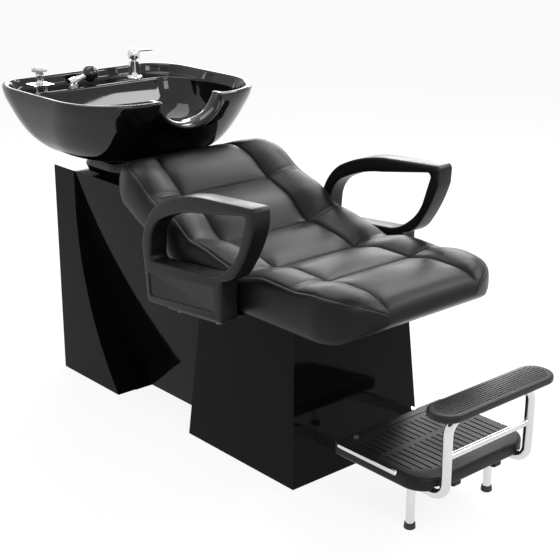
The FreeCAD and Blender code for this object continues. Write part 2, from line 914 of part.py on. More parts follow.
def seat_frame():
    low = s.pedestal_height + s.seat_plate_thickness
    high = low + s.seat_tube
    wide = s.seat_frame_half_width
    tube = s.seat_tube
    front = s.seat_frame_front
    rear = s.seat_frame_rear
    pieces = [
        box("seat_rail_left", -wide, -wide + tube, front, rear, low, high),
        box("seat_rail_right", wide - tube, wide, front, rear, low, high),
        box("seat_cross_front", -wide, wide, front, front + tube, low, high),
        box("seat_cross_rear", -wide, wide, rear - tube, rear, low, high),
        box("seat_cross_middle", -wide, wide, (front + rear - tube) / 2,
            (front + rear + tube) / 2, low, high),
        back_arm("back_arm_left", -(s.back_arm_place + tube)),
        back_arm("back_arm_right", s.back_arm_place),
    ]
    end = s.back_arm_end
    pieces.append(box("back_cross", -s.back_arm_place, s.back_arm_place, end - tube, end,
                      underside_height(end, s.back_arm_depth),
                      underside_height(end - tube, s.board_drop)))
    return fuse("seat_frame_solid", pieces)


# Boards: plywood let into the underside of the cushion

def seat_board():
    low = s.cushion_floor - s.board_drop
    return box("seat_board_solid", -s.board_half_width, s.board_half_width, s.seat_board_front,
               s.seat_board_rear, low, low + s.board_thickness)


def back_board_shape(grow):
    """The reclined board, larger by a fit all round when it makes the space for itself."""
    long = float(s.back_board_length) + 2 * grow
    wide = 2 * float(s.board_half_width) + 2 * grow
    slab = Part.makeBox(wide, long, float(s.board_thickness) + 2 * grow)
    slab.translate(vec(-wide / 2, float(s.back_board_start) - grow, -float(s.board_drop) - grow))
    slab.rotate(Vector(), Vector(1, 0, 0), float(s.recline_angle))
    slab.translate(vec(0, s.recline_start, s.cushion_floor))
    return slab


# Cushion: rows of padding between sewn seams, each row a loft through its seams and crown

# One line for each cross-section from the front edge to the head. The shares are the place
# along the cushion, the height of its top, the slope, the depth of padding, the width, the
# width of the inner seams, the rise of the edge seam and the crown.
SEAT_ROW_SHARES = [
    [
        (0.000, 0.292, 0.00, 0.185, 0.52, 0.50, 0.00, 0.15),
        (0.015, 0.337, 0.00, 0.417, 0.72, 0.68, 0.00, 0.30),
        (0.043, 0.383, 0.00, 0.694, 0.87, 0.82, 0.00, 0.50),
        (0.088, 0.405, 0.00, 0.944, 0.96, 0.88, 0.00, 0.70),
        (0.145, 0.409, 0.00, 1.000, 1.00, 0.90, 0.00, 0.80),
        (0.231, 0.364, 0.00, 0.889, 1.00, 0.90, 0.15, 0.25),
    ],
    [
        (0.231, 0.364, 0.00, 0.889, 1.00, 0.90, 0.15, 0.25),
        (0.332, 0.367, 0.12, 0.898, 1.00, 0.89, 0.25, 1.00),
        (0.434, 0.303, 0.23, 0.744, 1.00, 0.88, 0.30, 0.25),
    ],
    [
        (0.434, 0.303, 0.23, 0.744, 1.00, 0.88, 0.30, 0.25),
        (0.485, 0.345, 0.38, 0.857, 1.00, 0.91, 0.40, 0.80),
        (0.532, 0.371, 0.54, 0.935, 1.00, 0.94, 0.50, 1.00),
        (0.585, 0.392, 0.70, 0.880, 1.00, 0.97, 0.75, 0.80),
        (0.638, 0.394, 0.85, 0.684, 1.00, 1.00, 1.00, 0.25),
    ],
    [
        (0.638, 0.394, 0.85, 0.684, 1.00, 1.00, 1.00, 0.25),
        (0.724, 0.591, 0.96, 0.807, 1.00, 1.00, 0.60, 1.00),
        (0.820, 0.716, 1.00, 0.736, 1.00, 1.00, 0.40, 0.25),
    ],
    [
        (0.820, 0.716, 1.00, 0.736, 1.00, 1.00, 0.40, 0.25),
        (0.900, 0.894, 1.00, 0.839, 0.99, 0.99, 0.30, 0.90),
        (0.967, 0.970, 1.00, 0.593, 0.90, 0.90, 0.10, 0.50),
        (0.990, 0.973, 1.00, 0.370, 0.80, 0.80, 0.00, 0.30),
        (1.000, 0.958, 1.00, 0.167, 0.70, 0.70, 0.00, 0.15),
    ],
]


def seat_section(shares):
    """One cross-section of the cushion, square to the seat at that place."""
    along, height, slope, depth, wide, inner_wide, edge_rise, crown = shares
    lean = math.radians(float(s.recline_angle) * slope)
    up = Vector(0, -math.sin(lean), math.cos(lean))
    thick = float(s.cushion_depth) * depth
    top = vec(0, s.cushion_front + (s.cushion_head - s.cushion_front) * along,
              s.cushion_floor + s.cushion_rise * height)
    base = top - up * thick
    outer = float(s.cushion_half_width) * wide
    seam = float(s.seam_half_width) * wide
    inner = float(s.inner_seam_half_width) * inner_wide
    edge = thick + float(s.seam_rise) * edge_rise
    swell = float(s.cushion_crown) * crown
    bolster = (seam + inner) / 2
    bolster_top = (edge + thick) / 2 + swell

    def at(across, rise):
        return base + Vector(across, 0, 0) + up * rise

    arcs = [
        (at(seam, 0), at(outer, edge / 2), at(seam, edge)),
        (at(seam, edge), at(bolster, bolster_top), at(inner, thick)),
        (at(inner, thick), at(0, thick + swell), at(-inner, thick)),
        (at(-inner, thick), at(-bolster, bolster_top), at(-seam, edge)),
        (at(-seam, edge), at(-outer, edge / 2), at(-seam, 0)),
    ]
    points = [at(-seam, 0)]
    for arc in arcs:
        points += Part.Arc(*arc).toShape().discretize(5)[:-1]
    return Part.makePolygon(points + points[:1])


def between(row):
    """A row of three sections gets two more, on the parabola through the three."""
    if len(row) != 3:
        return row
    first, middle, last = row

    def parabola(t):
        a, b, c = (2 * (t - 0.5) * (t - 1), -4 * t * (t - 1), 2 * t * (t - 0.5))
        return tuple(a * x + b * y + c * z for x, y, z in zip(first, middle, last))

    return [first, parabola(0.25), middle, parabola(0.75), last]


def seat_board_space():
    gap = float(s.fit_gap)
    low = s.cushion_floor - s.board_drop
    size = vec(2 * s.board_half_width, s.seat_board_rear - s.seat_board_front, s.board_thickness)
    space = Part.makeBox(size.x + 2 * gap, size.y + 2 * gap, size.z + 2 * gap)
    space.translate(vec(-s.board_half_width, s.seat_board_front, low) - Vector(gap, gap, gap))
    return space


def cushion():
    rows = []
    for row in SEAT_ROW_SHARES:
        sections = [seat_section(shares) for shares in between(row)]
        rows.append(Part.makeLoft(sections, True, True))
    padded = rows[0].multiFuse(rows[1:])
    padded = padded.cut(back_board_shape(float(s.fit_gap)))
    padded = padded.cut(seat_board_space())
    return form("cushion_form", padded.Solids[0])


# Armrests: a closed loop of moulded foam on each side, and the bracket and bolts under it

# Shares of the armrest's length, of its height, and the arc's radius as a share of its height
ARM_OUTLINE_SHARES = [
    (0.276, 0.079),
    (0.959, 0.000),
    (1.000, 0.457, 0.473),
    (0.827, 0.814, 1.356),
    (0.447, 0.962),
    (0.014, 1.000),
    (0.000, 0.968),
    (0.005, 0.852, 1.215),
    (0.135, 0.514, 0.246),
    (0.250, 0.401, -0.036),
    (0.276, 0.366),
]
ARM_OPENING_SHARES = [
    (0.382, 0.404),
    (0.887, 0.344, 0.045),
    (0.921, 0.388),
    (0.913, 0.517, 0.268),
    (0.784, 0.716, 1.250),
    (0.466, 0.839),
    (0.096, 0.927, 0.030),
    (0.072, 0.886),
    (0.123, 0.681, 0.404),
    (0.226, 0.505, 0.442),
]
ARM_PANEL_SHARES = [(0.332, 0.142), (0.930, 0.060), (0.942, 0.243), (0.337, 0.334)]


def arm_points(shares):
    points = []
    for share in shares:
        place = (s.arm_front + s.arm_length * share[0], s.arm_floor + s.arm_height * share[1])
        points.append(place + tuple(s.arm_height * radius for radius in share[2:]))
    return points


def arm_underside(y):
    """Height of the sloping underside at y, between the outline's first two points."""
    (front, high), (rear, low) = arm_points(ARM_OUTLINE_SHARES[:2])
    return high + (y - front) * ((low - high) / (rear - front))


def arm_bolt_places():
    return (s.arm_bolt_front, s.arm_bolt_rear)


def armrest(side):
    name = "left" if side < 0 else "right"
    outer_face = side * (s.arm_inner + s.arm_width)
    body = new_body(f"arm_{name}_body")
    loop = new_sketch(body, f"arm_{name}_loop", "YZ_Plane", side * s.arm_inner)
    outline(loop, arm_points(ARM_OUTLINE_SHARES))
    outline(loop, arm_points(ARM_OPENING_SHARES))
    pad(body, loop, s.arm_width, backwards=side < 0)
    panel = new_sketch(body, f"arm_{name}_panel", "YZ_Plane", outer_face)
    outline(panel, arm_points(ARM_PANEL_SHARES))
    pocket(body, panel, s.arm_panel_depth, backwards=side < 0)
    holes = new_sketch(body, f"arm_{name}_holes", "XY_Plane", s.arm_floor - s.cut_overrun)
    for y in arm_bolt_places():
        circle(holes, side * (s.arm_inner + s.arm_width / 2), y, s.arm_bolt_radius + s.screw_gap)
    pocket(body, holes, s.arm_bolt_reach + 6 * s.cut_overrun, backwards=True)
    return body


def arm_bracket(side):
    name = "left" if side < 0 else "right"
    body = new_body(f"arm_bracket_{name}_body")
    left = s.seat_frame_half_width if side > 0 else -(s.arm_inner + s.arm_width - s.arm_round)
    strip = new_sketch(body, f"arm_bracket_{name}_side", "YZ_Plane", left)
    front = s.arm_bracket_front
    rear = s.arm_bracket_rear
    thick = s.arm_bracket_thickness
    outline(strip, [
        (front, arm_underside(front) - thick),
        (rear, arm_underside(rear) - thick),
        (rear, arm_underside(rear)),
        (front, arm_underside(front)),
    ])
    pad(body, strip, s.arm_inner + s.arm_width - s.arm_round - s.seat_frame_half_width)
    holes = new_sketch(body, f"arm_bracket_{name}_holes", "XY_Plane", s.arm_floor - 3 * s.cut_overrun)
    for y in arm_bolt_places():
        circle(holes, side * (s.arm_inner + s.arm_width / 2), y, s.arm_bolt_radius + s.screw_gap)
    pocket(body, holes, 12 * s.cut_overrun, backwards=True)
    return body


def arm_bolts(side):
    name = "left" if side < 0 else "right"
    across = side * (s.arm_inner + s.arm_width / 2)
    pieces = []
    for end, y in zip(("front", "rear"), arm_bolt_places()):
        seat = arm_underside(y + s.arm_bolt_head_radius) - s.arm_bracket_thickness - s.fit_gap
        shank = cylinder(f"arm_shank_{name}_{end}", s.arm_bolt_radius,
                         s.arm_bolt_reach + s.arm_bracket_thickness, across, y, seat)
        head = cylinder(f"arm_head_{name}_{end}", s.arm_bolt_head_radius,
                        s.arm_bolt_head_height, across, y, seat - s.arm_bolt_head_height)
        pieces.append(fuse(f"arm_bolt_{name}_{end}", [shank, head]))
    return group(f"arm_bolt_set_{name}", pieces)


# Basin: a ceramic shell with a rolled neck rest, a tap deck at the back and a drain

# Shares of the corner's size in plan: front corner across and along, rear corner across and
# along, all of the basin's half width
CORNER_SHARES = (0.567, 0.633, 0.283, 0.467)

# Each ring gives shares of the height from foot to rim, of the half width, and of how far
# the front and the rear are drawn in along the basin's length
BASIN_OUTER_SHARES = [
    (0.000, 0.533, 0.194, 0.361),
    (0.045, 0.707, 0.180, 0.300),
    (0.136, 0.820, 0.159, 0.237),
    (0.330, 0.913, 0.118, 0.152),
    (0.614, 0.973, 0.059, 0.074),
    (0.898, 1.000, 0.006, 0.007),
    (0.972, 1.000, 0.000, 0.000),
    (1.000, 0.980, 0.011, 0.011),
]
# Shares of the height from the well's floor to the deck
BASIN_WELL_SHARES = [
    (0.000, 0.200, 0.237, 0.556),
    (0.056, 0.560, 0.195, 0.360),
    (0.167, 0.767, 0.165, 0.319),
    (0.365, 0.850, 0.140, 0.267),
    (0.643, 0.900, 0.096, 0.230),
    (1.000, 0.927, 0.044, 0.204),
]
# Insets of the hollow above the deck, as shares of the basin's wall
BASIN_BRIM_SHARES = [(0.0, 1.25), (0.7, 0.95), (1.2, 0.60)]


def basin_ring(height, half_width, front, rear, corner=1.0):
    """A closed ring of lines and quarter ellipses, drawn as chords, at one height."""
    high = float(height)
    wide, near, far = float(half_width), float(front), float(rear)
    scale = float(s.basin_half_width) * corner
    front_across, front_along, rear_across, rear_along = (scale * c for c in CORNER_SHARES)

    def corner_arc(x, y, across, along, first, last):
        big, small = max(across, along), min(across, along)
        major = Vector(1, 0, 0) if across >= along else Vector(0, 1, 0)
        minor = Vector(0, 1, 0) if across >= along else Vector(-1, 0, 0)
        centre = Vector(x, y, high)
        turn = 0 if across >= along else math.pi / 2
        steps = 6
        points = []
        for step in range(steps + 1):
            angle = first - turn + (last - first) * step / steps
            points.append(centre + major * big * math.cos(angle) + minor * small * math.sin(angle))
        return [Part.LineSegment(a, b).toShape() for a, b in zip(points, points[1:])]

    quarter = math.pi / 2
    return Part.Wire([
        Part.LineSegment(Vector(front_across - wide, near, high),
                         Vector(wide - front_across, near, high)).toShape(),
        *corner_arc(wide - front_across, near + front_along, front_across, front_along,
                    -quarter, 0),
        Part.LineSegment(Vector(wide, near + front_along, high),
                         Vector(wide, far - rear_along, high)).toShape(),
        *corner_arc(wide - rear_across, far - rear_along, rear_across, rear_along, 0, quarter),
        Part.LineSegment(Vector(wide - rear_across, far, high),
                         Vector(rear_across - wide, far, high)).toShape(),
        *corner_arc(rear_across - wide, far - rear_along, rear_across, rear_along,
                    quarter, 2 * quarter),
        Part.LineSegment(Vector(-wide, far - rear_along, high),
                         Vector(-wide, near + front_along, high)).toShape(),
        *corner_arc(front_across - wide, near + front_along, front_across, front_along,
                    -2 * quarter, -quarter),
    ])


def basin_loft(rings, floor, top):
    """A block through rings, with straight walls from each ring to the next."""
    length = s.basin_rear - s.basin_front
    wires = [basin_ring(floor + (top - floor) * rise, s.basin_half_width * wide,
                        s.basin_front + length * near, s.basin_rear - length * far,
                        min(1.0, wide))
             for rise, wide, near, far in rings]
    return Part.makeLoft(wires, True, True)


def neck_lip():
    """The rolled lip: an oval carried round the notch from horn to horn."""
    across = float(s.notch_half_width + s.lip_thickness / 2)
    down = float(s.notch_depth + s.lip_thickness / 2)
    centre = vec(0, s.lip_front + s.lip_depth / 2, s.basin_rim_height)
    deep = float(s.lip_depth) / 2
    thick = float(s.lip_thickness) / 2
    steps = 12
    sides = 16
    ovals = []
    for step in range(steps + 1):
        turn = math.pi * step / steps
        middle = centre + Vector(across * math.cos(turn), 0, -down * math.sin(turn))
        outwards = Vector(down * math.cos(turn), 0, -across * math.sin(turn)).normalize()
        oval = [middle + Vector(0, deep, 0) * math.cos(2 * math.pi * side / sides)
                + outwards * thick * math.sin(2 * math.pi * side / sides)
                for side in range(sides)]
        ovals.append(Part.makePolygon(oval + oval[:1]))
    return Part.makeLoft(ovals, True, True)


def notch_space():
    """The half oval that the neck notch takes out of the front wall."""
    rim = s.basin_rim_height
    start = s.basin_front - s.cut_overrun - s.lip_depth
    centre = vec(0, start, rim)
    oval = Part.Ellipse(centre + vec(s.notch_half_width, 0, 0),
                        centre + vec(0, 0, -s.notch_depth), centre)
    lower = oval.toShape(0, math.pi)
    left, right = vec(-s.notch_half_width, start, rim), vec(s.notch_half_width, start, rim)
    lift = vec(0, 0, s.lip_depth)
    ends = [Part.LineSegment(left, left + lift).toShape(),
            Part.LineSegment(left + lift, right + lift).toShape(),
            Part.LineSegment(right + lift, right).toShape()]
    face = Part.Face(Part.Wire([lower] + ends))
    return face.extrude(vec(0, 3 * s.lip_depth, 0))


def deck_fixings():
    """Places and radii of the holes through the tap deck."""
    return [
        (s.mixer_across, s.mixer_place, s.mixer_shank_radius),
        (socket_foot_across(), s.spray_place, s.socket_radius / 2),
    ] + [(x, s.breaker_place, s.breaker_leg_radius / 2) for x in breaker_leg_places()]


def breaker_leg_places():
    apart = s.breaker_plate_size / 4
    return [s.breaker_across - apart, s.breaker_across + apart]


def socket_foot_across():
    return s.spray_across - (s.spray_handle_length - s.socket_length / 2) * sine(s.spray_lean)


def ledge_hollow():
    """The space under the tap deck, open below so that the taps' nuts can be reached."""
    height = s.basin_deck_height - s.ledge_thickness - s.basin_foot_height
    block = Part.makeBox(float(2 * s.ledge_half_width), float(s.ledge_rear - s.ledge_front),
                         float(height), vec(-s.ledge_half_width, s.ledge_front,
                                            s.basin_foot_height))
    upright = [e for e in block.Edges if e.tangentAt(e.FirstParameter).cross(Vector(0, 0, 1)).Length
               < s.fit_gap.number]
    return block.makeFillet(float(s.ledge_corner), upright)


def basin():
    outer = basin_loft(BASIN_OUTER_SHARES, s.basin_foot_height, s.basin_rim_height)
    well = basin_loft(BASIN_WELL_SHARES, s.basin_floor, s.basin_deck_height)
    deck_to_rim = s.basin_rim_height - s.basin_deck_height
    brim = Part.makeLoft([
        basin_ring(s.basin_deck_height + deck_to_rim * rise,
                   s.basin_half_width - s.basin_wall * inset,
                   s.basin_front + s.basin_wall * inset,
                   s.basin_rear - s.basin_wall * inset)
        for rise, inset in BASIN_BRIM_SHARES], True, True)
    shell = outer.cut(brim).cut(well).cut(notch_space()).fuse(neck_lip())
    tools = [ledge_hollow(), Part.makeCylinder(float(s.drain_hole_radius), float(s.basin_floor),
                                               vec(0, s.drain_place, 0))]
    for x, y, radius in deck_fixings():
        tools.append(Part.makeCylinder(float(radius + s.fit_gap), float(s.mixer_shank_length),
                                       vec(x, y, s.basin_deck_height), Vector(0, 0, -1)))
    shell = shell.cut(tools).removeSplitter()
    return form("basin_form", shell.Solids[0])


# Drain: a flanged tail through the basin's floor, a nut below and a lift-out strainer

tail_radius = s.drain_hole_radius - s.fit_gap


def drain_tail():
    body = new_body("drain_body")
    half = new_sketch(body, "drain_half", "XZ_Plane", -s.drain_place)
    bore = tail_radius - s.drain_wall
    top = s.basin_floor + s.drain_flange_thickness
    spigot = s.drain_spigot_radius
    shoulder = s.basin_foot_height - 2 * s.drain_nut_height
    outline(half, [
        (spigot - s.drain_wall, s.drain_tail_end),
        (spigot, s.drain_tail_end),
        (spigot, shoulder),
        (tail_radius, shoulder),
        (tail_radius, s.basin_floor),
        (s.drain_flange_radius, s.basin_floor),
        (s.drain_flange_radius, top - s.drain_flange_thickness / 2),
        (s.drain_flange_radius - s.drain_flange_thickness, top),
        (bore, top),
        (bore, shoulder + s.drain_wall),
        (spigot - s.drain_wall, shoulder + s.drain_wall),
    ])
    spin(body, half)
    hub = new_sketch(body, "drain_hub", "XY_Plane", s.basin_floor - s.drain_nut_height)
    circle(hub, 0, s.drain_place, s.strainer_stem_radius + 2 * s.drain_wall)
    pad(body, hub, s.drain_nut_height, backwards=True)
    bars = new_sketch(body, "drain_cross", "XY_Plane", s.basin_floor - s.drain_nut_height)
    rectangle(bars, -(bore + s.drain_wall / 2), bore + s.drain_wall / 2,
              s.drain_place - s.drain_wall, s.drain_place + s.drain_wall)
    pad(body, bars, s.drain_nut_height / 2, backwards=True)
    across = new_sketch(body, "drain_cross_other", "XY_Plane", s.basin_floor - s.drain_nut_height)
    rectangle(across, -s.drain_wall, s.drain_wall, s.drain_place - bore - s.drain_wall / 2,
              s.drain_place + bore + s.drain_wall / 2)
    pad(body, across, s.drain_nut_height / 2, backwards=True)
    hole = new_sketch(body, "drain_stem_hole", "XY_Plane", s.basin_floor)
    circle(hole, 0, s.drain_place, s.strainer_stem_radius + s.fit_gap)
    pocket(body, hole, 3 * s.drain_nut_height)
    return body


def drain_nut():
    body = new_body("drain_nut_body")
    ring = new_sketch(body, "drain_nut_ring", "XY_Plane", s.basin_foot_height - s.drain_nut_height)
    circle(ring, 0, s.drain_place, s.drain_nut_radius)
    circle(ring, 0, s.drain_place, tail_radius + s.fit_gap)
    pad(body, ring, s.drain_nut_height)
    return body


def strainer():
    body = new_body("strainer_body")
    half = new_sketch(body, "strainer_half", "XZ_Plane", -s.drain_place)
    rest = s.basin_floor + s.drain_flange_thickness
    rim = rest + s.drain_flange_thickness
    crown = rest + s.strainer_dome
    foot = s.basin_floor - 3 * s.drain_nut_height
    outline(half, [
        (0, foot),
        (s.strainer_stem_radius, foot),
        (s.strainer_stem_radius, rest),
        (s.strainer_radius, rest),
        (s.strainer_radius, rim),
        (0, crown),
    ])
    spin(body, half)
    slots = new_sketch(body, "strainer_slot", "XY_Plane", crown + s.cut_overrun)
    ring = (s.strainer_radius + s.strainer_stem_radius) / 2
    circle(slots, ring, 0 + s.drain_place, s.strainer_stem_radius / 2)
    circle(slots, -ring, 0 + s.drain_place, s.strainer_stem_radius / 2)
    circle(slots, 0, s.drain_place + ring, s.strainer_stem_radius / 2)
    circle(slots, 0, s.drain_place - ring, s.strainer_stem_radius / 2)
    pocket(body, slots, s.strainer_dome + 2 * s.cut_overrun)
    return body


# Tilting mount: a collar and hinge plate on the deck, a saddle under the basin and a pin

def collar():
    body = new_body("collar_body")
    for name, inset, cutting in (("outer", 0 * s.collar_wall, False),
                                 ("inner", s.collar_wall, True)):
        rings = []
        for level, z, lean in (("foot", s.tower_height, inset),
                               ("top", s.tower_height + s.collar_height, inset + s.collar_lean)):
            ring = new_sketch(body, f"collar_{name}_{level}", "XY_Plane", z)
            rounded(ring, -(s.collar_half_width - lean), s.collar_half_width - lean,
                    s.collar_front + lean, s.collar_rear - lean,
                    s.collar_corner - lean, s.collar_corner - lean)
            rings.append(ring)
        loft(body, rings[0], rings[1], cutting)
        doc.recompute()
    return body


def tilt_ear(body, name, left, plate_face, upward):
    """A rounded ear with the pin's hole, standing on a plate."""
    ear = new_sketch(body, name, "YZ_Plane", left)
    round_off = s.tilt_ear_radius
    foot = s.tilt_ear_foot if upward else s.tilt_ear_foot + s.tilt_plate_thickness / 2
    middle = s.tilt_place
    if upward:
        outline(ear, [
            (middle - foot, plate_face),
            (middle + foot, plate_face),
            (middle + round_off, s.tilt_height, round_off),
            (middle, s.tilt_height + round_off, round_off),
            (middle - round_off, s.tilt_height),
        ])
    else:
        outline(ear, [
            (middle - round_off, s.tilt_height, round_off),
            (middle, s.tilt_height - round_off, round_off),
            (middle + round_off, s.tilt_height),
            (middle + foot, plate_face),
            (middle - foot, plate_face),
        ])
    circle(ear, middle, s.tilt_height, s.tilt_pin_radius + s.fit_gap)
    return pad(body, ear, s.tilt_ear_thickness)


def tilt_screw_places():
    inset = (s.tilt_rear - s.tilt_base_front) / 5
    return [(side * s.tilt_screw_across, y) for side in (-1, 1)
            for y in (s.tilt_base_front + inset, s.tilt_rear - inset)]


tilt_base_ear = s.tilt_half_width - 3 * s.tilt_ear_thickness


def tilt_base():
    body = new_body("tilt_base_body")
    plan = new_sketch(body, "tilt_base_plan", "XY_Plane", s.tower_height)
    rectangle(plan, -s.tilt_half_width, s.tilt_half_width, s.tilt_base_front, s.tilt_rear)
    for x, y in tilt_screw_places():
        circle(plan, x, y, s.bolt_radius + s.screw_gap)
    pad(body, plan, s.tilt_plate_thickness)
    face = s.tower_height + s.tilt_plate_thickness
    tilt_ear(body, "tilt_base_ear_right", tilt_base_ear, face, True)
    tilt_ear(body, "tilt_base_ear_left", -(tilt_base_ear + s.tilt_ear_thickness), face, True)
    return body


def tilt_saddle():
    body = new_body("tilt_saddle_body")
    face = s.basin_foot_height - s.tilt_plate_thickness
    plan = new_sketch(body, "tilt_saddle_plan", "XY_Plane", face)
    rounded(plan, -s.tilt_half_width, s.tilt_half_width, s.tilt_front, s.tilt_rear,
            s.tilt_ear_radius, s.tilt_ear_radius)
    circle(plan, 0, s.drain_place, s.drain_nut_radius + 2 * s.drain_wall)
    pad(body, plan, s.tilt_plate_thickness)
    left = tilt_base_ear + s.tilt_ear_thickness + 2 * s.fit_gap
    tilt_ear(body, "tilt_saddle_ear_right", left, face, False)
    tilt_ear(body, "tilt_saddle_ear_left", -(left + s.tilt_ear_thickness), face, False)
    return body


def tilt_pin():
    reach = s.tilt_half_width + s.tilt_ear_thickness
    return cylinder("tilt_pin_solid", s.tilt_pin_radius, 2 * reach, -reach, s.tilt_place,
                    s.tilt_height, ALONG_X)


def tilt_screws():
    top = s.tower_height + s.tilt_plate_thickness
    length = s.tilt_plate_thickness + s.shell_wall + s.bolt_head_height
    pieces = []
    for number, (x, y) in enumerate(tilt_screw_places()):
        shank = cylinder(f"tilt_shank_{number}", s.bolt_radius, length, x, y, top - length)
        head = cylinder(f"tilt_head_{number}", s.bolt_head_radius, s.tilt_ear_thickness,
                        x, y, top)
        pieces.append(fuse(f"tilt_screw_{number}", [shank, head]))
    return group("tilt_screw_set", pieces)


# Mixer tap: a turned body, a cartridge that turns in it and a lever hinged on the cartridge

LEVER_TURN = Rotation(Vector(0, 0, 1), float(s.lever_direction))
mixer_top = s.basin_deck_height + s.mixer_body_height


def on_mixer(solid):
    """Turn a solid drawn along +X about the mixer's own axis to the lever's direction."""
    solid.rotate(Vector(), Vector(0, 0, 1), float(s.lever_direction))
    solid.translate(vec(s.mixer_across, s.mixer_place, 0))
    return solid


def mixer_body():
    body = new_body("mixer_turned")
    half = new_sketch(body, "mixer_half", "XZ_Plane", 0)
    deck = s.basin_deck_height
    flange = deck + s.mixer_flange_height
    bore = s.cartridge_radius + s.fit_gap
    neck_round = s.mixer_foot_radius - s.mixer_neck_radius
    outline(half, [
        (0, deck - s.mixer_shank_length),
        (s.mixer_shank_radius, deck - s.mixer_shank_length),
        (s.mixer_shank_radius, deck),
        (s.mixer_flange_radius, deck),
        (s.mixer_flange_radius, flange - neck_round),
        (s.mixer_flange_radius - neck_round, flange),
        (s.mixer_foot_radius, flange),
        (s.mixer_neck_radius, mixer_top - neck_round),
        (s.mixer_neck_radius, mixer_top),
        (bore, mixer_top),
        (bore, mixer_top - s.cartridge_height * 2 / 3),
        (0, mixer_top - s.cartridge_height * 2 / 3),
    ])
    spin(body, half)
    return body


def mixer_nut():
    body = new_body("mixer_nut_body")
    top = s.basin_deck_height - s.ledge_thickness
    ring = new_sketch(body, "mixer_nut_ring", "XY_Plane", top - s.mixer_nut_height)
    circle(ring, s.mixer_across, s.mixer_place, s.mixer_nut_radius)
    circle(ring, s.mixer_across, s.mixer_place, s.mixer_shank_radius + s.fit_gap)
    pad(body, ring, s.mixer_nut_height)
    return body


def mixer_cartridge():
    foot = mixer_top - s.cartridge_height * 2 / 3 + s.fit_gap
    top = s.lever_pin_height + 2 * s.lever_pin_radius
    stem = Part.makeCylinder(float(s.cartridge_radius), float(top - foot), vec(0, 0, foot))
    hole = Part.makeCylinder(float(s.lever_pin_radius + s.fit_gap), float(4 * s.cartridge_radius),
                             vec(0, -2 * s.cartridge_radius, s.lever_pin_height),
                             Vector(0, 1, 0))
    return form("cartridge_form", on_mixer(stem.cut(hole)))


def mixer_pin():
    reach = s.lever_cap_radius - s.lever_wall / 2
    pin = Part.makeCylinder(float(s.lever_pin_radius), float(2 * reach),
                            vec(0, -reach, s.lever_pin_height), Vector(0, 1, 0))
    return form("mixer_pin_form", on_mixer(pin))


def mixer_lever():
    """A hollow domed cap with a flat blade that widens a little towards its tip."""
    foot = mixer_top + s.cartridge_gap
    radius = s.lever_cap_radius
    top = foot + s.lever_cap_height + s.cartridge_gap
    shoulder = s.lever_cap_height / 2
    bulge = (top - foot - shoulder)
    dome = (radius * radius + bulge * bulge) / (2 * bulge)

    def bell(inset):
        rim = vec(radius - inset, 0, foot)
        bend = vec(radius - inset, 0, foot + shoulder)
        peak = vec(0, 0, top - inset)
        centre = peak - vec(0, 0, dome - inset)
        half_way = (bend + peak) / 2 - centre
        middle = centre + half_way.normalize() * float(dome - inset)
        base = vec(0, 0, foot)
        wire = Part.Wire([Part.LineSegment(base, rim).toShape(),
                          Part.LineSegment(rim, bend).toShape(),
                          Part.LineSegment(bend, middle).toShape(),
                          Part.LineSegment(middle, peak).toShape(),
                          Part.LineSegment(peak, base).toShape()])
        return Part.Face(wire).revolve(Vector(), Vector(0, 0, 1), 360)

    cap = bell(0 * s.lever_wall)
    hollow = bell(s.lever_wall)
    near = s.lever_width / 2
    far = s.lever_width * 3 / 4
    blade_foot = foot + shoulder - s.lever_thickness
    start = radius - 2 * s.lever_wall
    points = [vec(start, -near, blade_foot), vec(s.lever_reach - far, -far, blade_foot),
              vec(s.lever_reach - far, far, blade_foot), vec(start, near, blade_foot)]
    tip = vec(s.lever_reach, 0, blade_foot)
    plan = Part.Wire([Part.LineSegment(points[0], points[1]).toShape(),
                      Part.Arc(points[1], tip, points[2]).toShape(),
                      Part.LineSegment(points[2], points[3]).toShape(),
                      Part.LineSegment(points[3], points[0]).toShape()])
    blade = Part.Face(plan).extrude(vec(0, 0, s.lever_thickness))
    hole = Part.makeCylinder(float(s.lever_pin_radius + s.fit_gap), float(4 * radius),
                             vec(0, -2 * radius, s.lever_pin_height), Vector(0, 1, 0))
    lever = cap.cut(hollow).fuse(blade).cut(hole)
    return form("mixer_lever_form", on_mixer(lever.removeSplitter()))


# Hand spray in its socket

def along_spray(place):
    """A point on the spray's handle, measured from the ball's centre."""
    return vec(s.spray_across - place * sine(s.spray_lean), s.spray_place,
               s.spray_height - place * cosine(s.spray_lean))


spray_axis = (along_spray(0 * s.fit_gap) - along_spray(s.spray_handle_length)).normalize()


def spray():
    steps = 8
    half_ball = [Vector(math.sin(math.pi * n / steps), 0, math.cos(math.pi * n / steps))
                 * float(s.spray_ball_radius) for n in range(steps + 1)]
    ball = Part.Face(Part.makePolygon(half_ball + half_ball[:1])).revolve(
        Vector(), Vector(0, 0, 1), 360)
    ball.Placement = FreeCAD.Placement(along_spray(0 * s.fit_gap),
                                       Rotation(Vector(0, 0, 1), spray_axis))
    handle = Part.makeCylinder(float(s.spray_handle_radius), float(s.spray_handle_length),
                               along_spray(s.spray_handle_length), spray_axis)
    ring = Part.makeCylinder(float(s.spray_handle_radius + s.socket_radius) / 2,
                             float(s.socket_radius) / 2,
                             along_spray(s.spray_handle_length - s.socket_length
                                         - s.socket_radius), spray_axis)
    face = Part.makeBox(float(2 * s.spray_ball_radius), float(2 * s.spray_ball_radius),
                        float(s.spray_ball_radius))
    face.translate(vec(-s.spray_ball_radius, -s.spray_ball_radius, s.spray_ball_radius * 4 / 5))
    face.Placement = FreeCAD.Placement(along_spray(0 * s.fit_gap),
                                       Rotation(Vector(0, 0, 1), spray_axis)) * face.Placement
    return form("spray_form", ball.fuse([handle, ring]).cut(face).removeSplitter())


